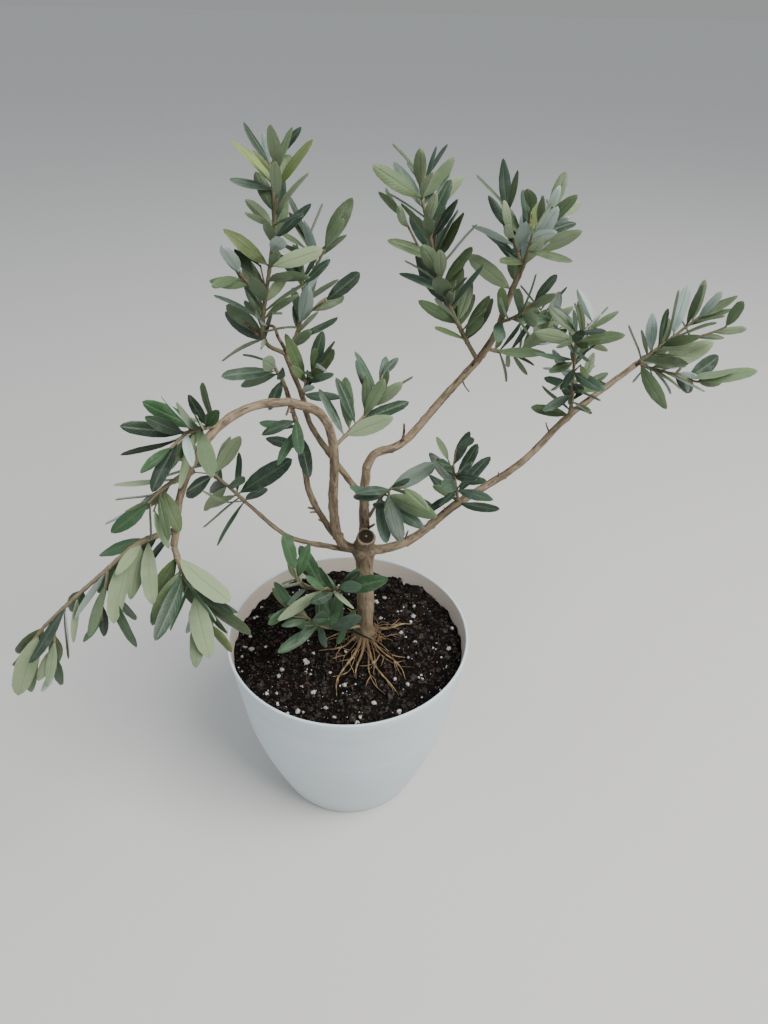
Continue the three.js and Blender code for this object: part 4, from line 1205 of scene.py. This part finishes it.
def grow_mass(plan):
    """The stems of a mass with their leaves: the one that meets the bough, then the side twigs"""
    draw = seeded(plan["seed"])
    either = swaying(draw)
    main = Course(plan["course"])
    stems = [{"course": main, "thick": plan["thick"], "leaves": grow_leaves(main, plan, draw)}]
    for i in range(plan["twigs"]):
        along = lerp(*TWIG_PLACES, (i + draw()) / plan["twigs"]) * main.length
        centre, heading, across, up = main.frame(along)
        turn = math.radians(plan["turn"] + TWIG_TURN * i + either(TWIG_TURN_RANGE))
        spread = math.radians(TWIG_OPEN + either(TWIG_OPEN_RANGE))
        length = plan["twig"] * (0.9 + either(TWIG_LENGTH_RANGE))
        aim = unit(lean(heading, across, up, turn, spread) + UP * plan["lift"])
        course = Course([centre, centre + aim * length / 2, centre + aim * length + UP * TWIG_RISE * length])
        young = {**plan, "pairs": TWIG_PAIRS, "bare": TWIG_BARE, "leaf": plan["leaf"] * TWIG_LEAF,
                 "turn": plan["turn"] + TWIG_LEAF_TURN * i}
        stems.append({"course": course, "thick": (TWIG_THICKNESS,) * 2,
                      "leaves": grow_leaves(course, young, draw)})
    return stems


def half_width(leaf, share):
    """Half the width of a leaf's outline in the rule at a share of its length"""
    shares, halves = zip(*LEAF_OUTLINE)
    return leaf["width"] * float(np.interp(share, shares, halves))


def on_leaf(leaf, share, side):
    """A place on a leaf: a share of its length, and a distance to the side"""
    length = leaf["size"] * share
    return (leaf["foot"] + leaf["aim"] * length - leaf["face"] * (leaf["bend"] * length * share)
            + np.cross(leaf["aim"], leaf["face"]) * side)


class Space:
    """What has grown, as balls along the wood and the blades, so that what grows later keeps clear of it"""

    def __init__(self):
        self.centres, self.reaches = np.empty((0, 3)), np.empty(0)
        self.owners, self.blades = np.empty(0, "U24"), np.empty(0, bool)
        self.rim = bpy.context.scene.olive_pot.rim_radius / MM + LEAF_CLEARANCE
        self.top = bpy.context.scene.olive_pot.height / MM + LEAF_CLEARANCE

    @staticmethod
    def wood(course, thick):
        spots = np.arange(0, course.length + 1e-9, WOOD_MARK_STEP)
        centres = [course.frame(spot)[0] for spot in spots]
        return centres, [lerp(*thick, spot / course.length) / 2 + WOOD_CLEARANCE for spot in spots]

    @staticmethod
    def blade(leaf):
        first, step = LEAF_MARK_SHARES
        centres = [on_leaf(leaf, share, side * half_width(leaf, share))
                   for share in first + step * np.arange(LEAF_MARKS) for side in (-0.8, 0, 0.8)]
        return centres, [LEAF_CLEARANCE] * len(centres)

    def keep(self, owner, marks, blade=False):
        count = len(marks[0])
        self.centres = np.concatenate([self.centres, marks[0]])
        self.reaches = np.concatenate([self.reaches, marks[1]])
        self.owners = np.concatenate([self.owners, [owner] * count])
        self.blades = np.concatenate([self.blades, [blade] * count])

    def meets(self, owner, centres, blade=False, spacing=LEAF_SPACING):
        """Whether marks reach into another mass, the wood, the pot or the soil, or blades into a blade"""
        centres = np.array(centres)
        if np.any((np.hypot(centres[:, 0], centres[:, 1]) < self.rim) & (centres[:, 2] < self.top)):
            return True
        reaches = np.where(self.owners == owner, np.where(self.blades & blade, spacing, 0), self.reaches)
        near = np.all((self.centres > centres.min(axis=0) - reaches[:, None])
                      & (self.centres < centres.max(axis=0) + reaches[:, None]), axis=1)
        gaps = np.linalg.norm(self.centres[near][None] - centres[:, None], axis=2)
        return bool(np.any(gaps < reaches[near][None]))


def sprigs(plan, stems, draw):
    """Young sprigs in the axils of the stems' leaves, each with a pair of small leaves"""
    young = []
    for stem in stems:
        for leaf in stem["leaves"]:
            if draw() > SPRIG_SHARE:
                continue
            heading = unit(stem["course"].frame(stem["course"].length / 2)[1] + UP * SPRIG_RISE)
            aim = unit(leaf["aim"] * SPRIG_LEAN + heading + UP * plan["lift"] * 0.5)
            length = lerp(*SPRIG_LENGTH, draw())
            course = Course([leaf["foot"], leaf["foot"] + aim * length * 0.5, leaf["foot"] + aim * length])
            centre, ahead, across, up = course.frame(length)
            turn = 2 * math.pi * draw()
            leaves = []
            for side in (0, math.pi):
                out = lean(ahead, across, up, turn + side, math.radians(SPRIG_OPEN))
                out = unit(out + UP * plan["lift"] * 0.4)
                size = lerp(*SPRIG_LEAF, draw())
                shown = -LEAF_LIGHT if draw() < plan["pale"] else LEAF_LIGHT
                width = size * lerp(*SPRIG_LEAF_WIDTH, draw())
                bend, roll = lerp(*SPRIG_LEAF_BEND, draw()), lerp(*SPRIG_LEAF_ROLL, draw())
                leaves.append(new_leaf(centre, ahead, out, size, width, bend, roll, shown, True))
            young.append({"course": course, "thick": SPRIG_THICKNESS, "leaves": leaves})
    for stem in stems:
        centre, heading, across, up = stem["course"].frame(stem["course"].length)
        turn = 2 * math.pi * draw()
        for side in (0, math.pi):
            out = unit(lean(heading, across, up, turn + side, math.radians(TIP_OPEN)))
            size = lerp(*TIP_LEAF, draw())
            width = size * TIP_LEAF_WIDTH
            tip = new_leaf(centre, heading, out, size, width, TIP_LEAF_BEND, 0, LEAF_LIGHT, True)
            young.append({"course": None, "leaves": [tip]})
    return young


def grow_crown():
    """Every mass by name: its stems, kept clear of each other, and finer growth within the solid's reach"""
    space = Space()
    for thick, course in BOUGHS.values():
        space.keep("wood", space.wood(Course(course), thick))
    space.keep("wood", space.wood(Course(TRUNK), (2 * TRUNK_RADIUS, 2 * FORK_RADIUS)))
    space.keep("wood", space.wood(Course(STUMP), (2 * STUMP_RADIUS,) * 2))
    plans = [dict(zip(MASS_KEYS, row)) for row in MASSES]
    masses = {plan["name"]: grow_mass(plan) for plan in plans}
    for name, stems in masses.items():
        space.keep(name, space.wood(stems[0]["course"], stems[0]["thick"]))
    for name, stems in masses.items():
        clear = [stem for stem in stems[1:]
                 if not space.meets(name, space.wood(stem["course"], stem["thick"])[0][2:])]
        for stem in clear:
            space.keep(name, space.wood(stem["course"], stem["thick"]))
        masses[name] = [stems[0], *clear]

    def clear_leaves(name, leaves, box=None, spacing=LEAF_SPACING):
        kept = []
        for leaf in leaves:
            marks = space.blade(leaf)
            spots = np.array(marks[0]) * MM
            outside = box and (np.any(spots < np.array(box[0])) or np.any(spots > np.array(box[1])))
            if not outside and not space.meets(name, marks[0], True, spacing):
                space.keep(name, marks, True)
                kept.append(leaf)
        return kept

    for name, stems in masses.items():
        for stem in stems:
            stem["leaves"] = clear_leaves(name, stem["leaves"])
    for plan in plans:
        name, stems = plan["name"], masses[plan["name"]]
        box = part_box(name)
        draw = seeded(plan["seed"] + BETWEEN_DRAW)
        for turn, size in BETWEEN:
            for stem in stems:
                pairs, bare = (plan["pairs"], plan["bare"]) if stem is stems[0] else (TWIG_PAIRS, TWIG_BARE)
                between = {**plan, "pairs": max(pairs - 1, 1), "leaf": plan["leaf"] * size,
                           "bare": bare + (1 - bare) / (2 * pairs), "turn": plan["turn"] + turn}
                more = grow_leaves(stem["course"], between, draw)
                stem["leaves"] += clear_leaves(name, more, box, FINE_SPACING)
        for stem in sprigs(plan, stems, seeded(plan["seed"] + SPRIG_DRAW)):
            course = stem["course"]
            if course and space.meets(name, space.wood(course, stem["thick"])[0][2:] or [course.line[-1]]):
                continue
            stem["leaves"] = clear_leaves(name, stem["leaves"], box, FINE_SPACING)
            if stem["leaves"]:
                stems.append(stem)
    return plans, masses


# The leaf's own outline, finer than the rule's, from stalk to blunt tip: shares of its length, half widths.
# A row of corners runs across its upper side, and its underside adds one in the middle.
BLADE_SHARES = (0, 0.07, 0.18, 0.34, 0.52, 0.70, 0.85, 0.95)
BLADE_HALVES = (0.05, 0.05, 0.25, 0.43, 0.50, 0.46, 0.33, 0.18)
BLADE_ACROSS = (-1, -0.5, -0.05, 0.05, 0.5, 1)
BLADE_ROW = len(BLADE_ACROSS) + 1
BLADE_WIDTH = 0.88
STALK_WIDTH = 0.6
# What differs leaf by leaf, each drawn in a range: keel, sideways sweep, twist, how far the margins roll
# under, how blunt the tip is, and the wave along the blade.
BLADE_DRAWS = ((0.06, 0.36), (-0.07, 0.07), (-0.3, 0.3), (0.06, 0.22), (0.85, 1.26), (-0.012, 0.012))
# How far the middle of the underside and the margins lie under the upper side, in thicknesses.
BLADE_BELLY, BLADE_MARGIN = 1.9, 0.6
# Side veins: their number along a leaf and how far they slant.
VEINS, VEIN_SLANT = 13, 5
# The share of the small leaves whose tint is a young one's.
YOUNG_SHARE = 0.35


def blade_faces():
    """The faces of one leaf as corner numbers, and which of them are rib, upper side and underside"""
    across = len(BLADE_ACROSS)
    tip = BLADE_ROW * len(BLADE_SHARES)
    upper = list(zip(range(across - 1), range(1, across)))
    under = [(across, 0), (across - 1, across)]
    faces, kinds = [], []
    for first in range(0, tip, BLADE_ROW):
        ahead, last = first + BLADE_ROW, first + BLADE_ROW == tip
        for kind, strips in (("upper", upper), ("under", under)):
            for start, end in strips:
                beyond = [tip] if last else [ahead + end, ahead + start]
                faces.append([first + start, first + end, *beyond])
                middle = kind == "upper" and start == across // 2 - 1 and not last
                kinds.append("rib" if first == 0 or middle else kind)
    faces.append([*reversed(range(across)), across])
    kinds.append("rib")
    return faces, kinds


def blade_points(leaf, draw, thickness):
    """The corners of one leaf and their places on it, across and along"""
    keel, sweep, twist, roll, blunt, wave = (lerp(*ends, draw()) for ends in BLADE_DRAWS)
    side = np.cross(leaf["aim"], leaf["face"])
    points, places = [], []
    for share, half in (*zip(BLADE_SHARES, BLADE_HALVES), (1, 0)):
        width = half * BLADE_WIDTH * leaf["width"] * (blunt if share > 0.8 else 1)
        width = max(width, STALK_WIDTH if share < 0.15 else 0)
        angle = twist * share
        out = side * math.cos(angle) + leaf["face"] * math.sin(angle)
        up = leaf["face"] * math.cos(angle) - side * math.sin(angle)
        length = leaf["size"] * share
        lift = wave * leaf["size"] * math.sin(2 * math.pi * share) - leaf["bend"] * length * share
        centre = leaf["foot"] + leaf["aim"] * length + leaf["face"] * lift + side * sweep * length * share
        rows = [*((c, 0) for c in BLADE_ACROSS), (0, BLADE_BELLY)]
        for c, sunk in rows if share < 1 else [(0, 0)]:
            rise = width * (keel * abs(c) - roll * max(abs(c) - 0.5, 0) * 2) * min(share / 0.2, 1)
            rise -= thickness * (BLADE_MARGIN if abs(c) == 1 else sunk)
            points.append(centre + out * c * width + up * (rise + thickness / 2))
            places.append((0.5 + c / 2, share))
    return points, places


def leaf_look(name, base, under):
    """One tint of leaf: mottled, with faint side veins, and a tone of its own for each leaf"""
    look = Look(name, Specular_IOR_Level=0.15 if under else 0.36, Sheen_Weight=0.15 if under else 0.0)
    own = look.place()
    cloud = look.clouds(own, 140, 3, 0.6)
    fine = look.clouds(own, 1400, 3, 0.6)
    blade = look.node("ShaderNodeUVMap", {"uv_map": "blade"})
    aside = abs(look.axis(blade, 0) - 0.5)
    veins = ((look.axis(blade, 1) * VEINS - aside * VEIN_SLANT) * 6.283).sine().span(0.55, 1)
    middle = aside.span(0.10, 0.02)
    pale = tuple(lerp(c, 0.5, 0.22) for c in base)
    dark = scaled(base, 0.80 if under else 0.62)
    color = look.mix(look.attribute("tone"), dark, scaled(base, 1.18))
    color = look.mix(cloud.span(0.45, 0.75) * 0.35, color, pale)
    color = look.mix(fine.span(0.5, 0.75) * 0.22, color, dark if under else pale)
    color = look.mix(veins * 0.16 + middle * 0.25, color, pale)
    if under:
        color = look.mix(aside.span(0.045, 0.012) * 0.5, color, scaled(base, 0.5))
    color = look.mix(aside.span(0.44, 0.5) * 0.35, color, pale)
    roughness = (0.62 if under else 0.34) + cloud * 0.2
    return look.surface(color, roughness, veins * 0.4 + fine * 0.5 - middle, 0.0003, 0.5)


def young_wood_look(name, base, roughness):
    """Ribs, stalks and young twigs"""
    look = Look(name, Specular_IOR_Level=0.3)
    grain = look.clouds(look.place(), 500, 3, 0.6)
    wide = look.clouds(look.place(), 60, 3, 0.6)
    color = look.mix(grain.span(0.35, 0.7), scaled(base, 0.72), base)
    color = look.mix(wide.span(0.5, 0.7) * 0.5, color, (0.21, 0.155, 0.10))
    return look.surface(color, roughness + grain * 0.15, grain, 0.0004, 0.6)


# A twig swells at each leaf's foot, is no thicker than this at its tip, and ends in a long bud.
NODE_SWELL, NODE_LENGTH = 0.22, 1.3
TWIG_TIP = 1.5
BUD_RADIUS, BUD_STRETCH = 0.62, 1.7
# The pieces of leaves, and the masses in each.
LEAF_GROUPS = {
    "leaves_top_left": ("shoot_top_left", "shoot_top_middle", "tuft_top_middle", "tuft_left_inner",
                        "tuft_left_upper"),
    "leaves_middle": ("shoot_arch_crown", "shoot_leader_foot", "tuft_right_low", "tuft_left_inner_low",
                      "tuft_left_low"),
    "leaves_top_right": ("shoot_right_thin", "tuft_right_top_side", "tuft_right_top", "shoot_right_fork"),
    "leaves_right": ("shoot_right_middle", "shoot_right_upright", "shoot_right_end", "shoot_right_end_low"),
    "leaves_weeping": ("shoot_arch_left", "shoot_arch_left_low", "shoot_weeping_long", "shoot_weeping_short"),
    "leaves_trunk": ("shoot_trunk_upper", "shoot_trunk_low"),
}


class OliveAddFoliage(Operator):
    """Grow the twigs and leaves of every mass by its seeded rule"""
    bl_idname = "olive.add_foliage"
    bl_label = "Twigs and leaves"

    def execute(self, context):
        settings = context.scene.olive_foliage
        plans, masses = grow_crown()
        looks = {name: leaf_look(name, tuple(getattr(settings, name)), name.startswith("under"))
                 for name in LEAF_TINTS.values()}
        looks["rib"] = young_wood_look("leaf_rib", tuple(settings.rib), 0.5)
        slots = {name: i for i, name in enumerate(looks)}
        faces, kinds = blade_faces()
        rules = {plan["name"]: plan for plan in plans}
        for group, names in LEAF_GROUPS.items():
            points, polygons, tints, tones, places = [], [], [], [], []
            for name in names:
                draw = seeded(rules[name]["seed"] + TINT_DRAW)
                upper, under = rules[name]["tints"].split("/")
                for leaf in (leaf for stem in masses[name] for leaf in stem["leaves"]):
                    corners, spots = blade_points(leaf, draw, settings.thickness / MM)
                    first = len(points)
                    points += corners
                    top = upper[int(draw() * len(upper))]
                    if leaf["small"] and draw() < YOUNG_SHARE:
                        top = "Y" if top in "OY" else "O"
                    low = under[int(draw() * len(under))]
                    tone = draw()
                    dealt = {"rib": "rib", "upper": LEAF_TINTS[top], "under": LEAF_TINTS[low]}
                    for face, kind in zip(faces, kinds):
                        polygons.append([first + corner for corner in face])
                        tints.append(slots[dealt[kind]])
                        tones.append(tone)
                        places += [spots[corner] for corner in face]
            mesh = bpy.data.meshes.new(group)
            mesh.from_pydata(np.array(points) * MM, [], polygons)
            mesh.polygons.foreach_set("material_index", tints)
            mesh.uv_layers.new(name="blade").data.foreach_set("uv", np.array(places).ravel())
            mesh.attributes.new("tone", "FLOAT", "FACE").data.foreach_set("value", tones)
            finish_piece(group, mesh, looks.values(), names, sharp=48)
        self.add_twigs(settings, masses)
        return {"FINISHED"}

    @staticmethod
    def add_twigs(settings, masses):
        """The stems of every mass, with a swelling at each pair of leaves and a bud at each tip"""
        parts = []
        for name, stem in ((name, stem) for name, stems in masses.items() for stem in stems):
            course = stem["course"]
            if course is None:
                continue
            thick = (stem["thick"][0], min(stem["thick"][1], TWIG_TIP))
            feet = [leaf["foot"] for leaf in stem["leaves"]]
            at = [course.at[int(np.argmin(np.linalg.norm(course.line - foot, axis=1)))] for foot in feet]

            def radius_at(share, angle):
                along = share * course.length
                near = max((math.exp(-((along - spot) / NODE_LENGTH) ** 2) for spot in at), default=0)
                uneven = noise.noise((14 * share, len(name), math.cos(angle)))
                return lerp(*thick, share) / 2 * (1 + NODE_SWELL * near + 0.10 * uneven)

            parts.append(limb(course, radius_at, 8, 1.6 if course.length > 25 else 2.2))
            bud = ball(1, thick[1] * BUD_RADIUS)
            bmesh.ops.scale(bud, vec=(1, 1, BUD_STRETCH), verts=bud.verts)
            heading = Vector(course.frame(course.length)[1])
            bmesh.ops.rotate(bud, cent=(0, 0, 0), verts=bud.verts,
                             matrix=Vector((0, 0, 1)).rotation_difference(heading).to_matrix())
            bmesh.ops.translate(bud, vec=course.line[-1] + np.array(heading) * 0.5, verts=bud.verts)
            parts.append(bud)
        look = young_wood_look("twig_bark", tuple(settings.twig), 0.6)
        finish_piece("twigs", joined(parts), [look])


# Stage

CAMERA_PLACE = (0.02675, -0.43183, 0.5724)
CAMERA_PITCH = 34.70
CAMERA_ROLL = 1.22
FLOOR_SIZE = 160
# The height on the object that both lights look at.
LIT_HEIGHT = 0.2


class OliveAddStage(Operator):
    """Set the camera, the floor and the soft light"""
    bl_idname = "olive.add_stage"
    bl_label = "Stage"

    def execute(self, context):
        settings = context.scene.olive_stage
        scene = context.scene
        camera = bpy.data.objects.new("camera", bpy.data.cameras.new("camera"))
        camera.data.lens = settings.lens
        camera.data.sensor_width = 36
        camera.data.clip_start = 0.01
        camera.matrix_world = (Matrix.Translation(CAMERA_PLACE)
                               @ Matrix.Rotation(math.radians(90 - CAMERA_PITCH), 4, "X")
                               @ Matrix.Rotation(math.radians(CAMERA_ROLL), 4, "Z"))
        scene.collection.objects.link(camera)
        scene.camera = camera

        bm = bmesh.new()
        bmesh.ops.create_grid(bm, x_segments=2, y_segments=2, size=FLOOR_SIZE / 2)
        mesh = bpy.data.meshes.new("floor")
        bm.to_mesh(mesh)
        bm.free()
        look = Look("pale_floor", Specular_IOR_Level=0.0, Roughness=0.85)
        cloud = look.clouds(look.place(), 3, 3)
        look.put("Base Color", look.mix(cloud, scaled(settings.floor, 0.985), settings.floor))
        mesh.materials.append(look.material)
        floor = bpy.data.objects.new("floor", mesh)
        scene.collection.objects.link(floor)

        self.add_light("key", settings.key, 1.4, (1.15, -0.7, 1.9), (1, 0.985, 0.96))
        self.add_light("fill", settings.fill, 2.2, (-1.6, -0.5, 1.3), (0.93, 0.97, 1))
        world = bpy.data.worlds.new("sky")
        world.use_nodes = True
        sky = Nodes(world.node_tree)
        height = sky.axis(sky.node("ShaderNodeTexCoord", output="Generated"), 2)
        glow = sky.mix(height.span(-0.05, 0.9), settings.horizon, settings.zenith)
        sky.feed(world.node_tree.nodes["Background"].inputs["Color"], glow)
        scene.world = world
        return {"FINISHED"}

    @staticmethod
    def add_light(name, power, size, place, color):
        light = bpy.data.lights.new(name, "AREA")
        light.energy = power
        light.size = size
        light.color = color
        lamp = bpy.data.objects.new(name, light)
        lamp.location = place
        lamp.rotation_euler = (Vector((0, 0, LIT_HEIGHT)) - Vector(place)).to_track_quat("-Z", "Y").to_euler()
        bpy.context.scene.collection.objects.link(lamp)


class OlivePanel(Panel):
    """The pieces of the tree, in the 3D view's sidebar"""
    bl_idname = "VIEW3D_PT_olive_bonsai"
    bl_label = "Olive bonsai"
    bl_space_type = "VIEW_3D"
    bl_region_type = "UI"
    bl_category = "Olive"

    def draw(self, context):
        for operator, settings in PIECES:
            box = self.layout.box()
            box.operator(operator.bl_idname)
            group = getattr(context.scene, settings)
            for name in type(group).__annotations__:
                box.prop(group, name)


PIECES = (
    (OliveAddStage, "olive_stage"), (OliveAddPot, "olive_pot"), (OliveAddSoil, "olive_soil"),
    (OliveAddRoots, "olive_wood"), (OliveAddWood, "olive_wood"), (OliveAddFoliage, "olive_foliage"),
)
GROUPS = {
    "olive_pot": OlivePotSettings, "olive_soil": OliveSoilSettings, "olive_wood": OliveWoodSettings,
    "olive_foliage": OliveFoliageSettings, "olive_stage": OliveStageSettings,
}


def register():
    for group in GROUPS.values():
        bpy.utils.register_class(group)
    for name, group in GROUPS.items():
        setattr(bpy.types.Scene, name, PointerProperty(type=group))
    for operator, _ in PIECES:
        bpy.utils.register_class(operator)
    bpy.utils.register_class(OlivePanel)


def unregister():
    bpy.utils.unregister_class(OlivePanel)
    for operator, _ in reversed(PIECES):
        bpy.utils.unregister_class(operator)
    for name, group in reversed(GROUPS.items()):
        delattr(bpy.types.Scene, name)
        bpy.utils.unregister_class(group)


def main():
    register()
    bpy.ops.olive.add_stage()
    bpy.ops.olive.add_pot()
    bpy.ops.olive.add_soil()
    bpy.ops.olive.add_roots()
    bpy.ops.olive.add_wood()
    bpy.ops.olive.add_foliage()
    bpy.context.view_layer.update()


if __name__ == "__main__":
    main()
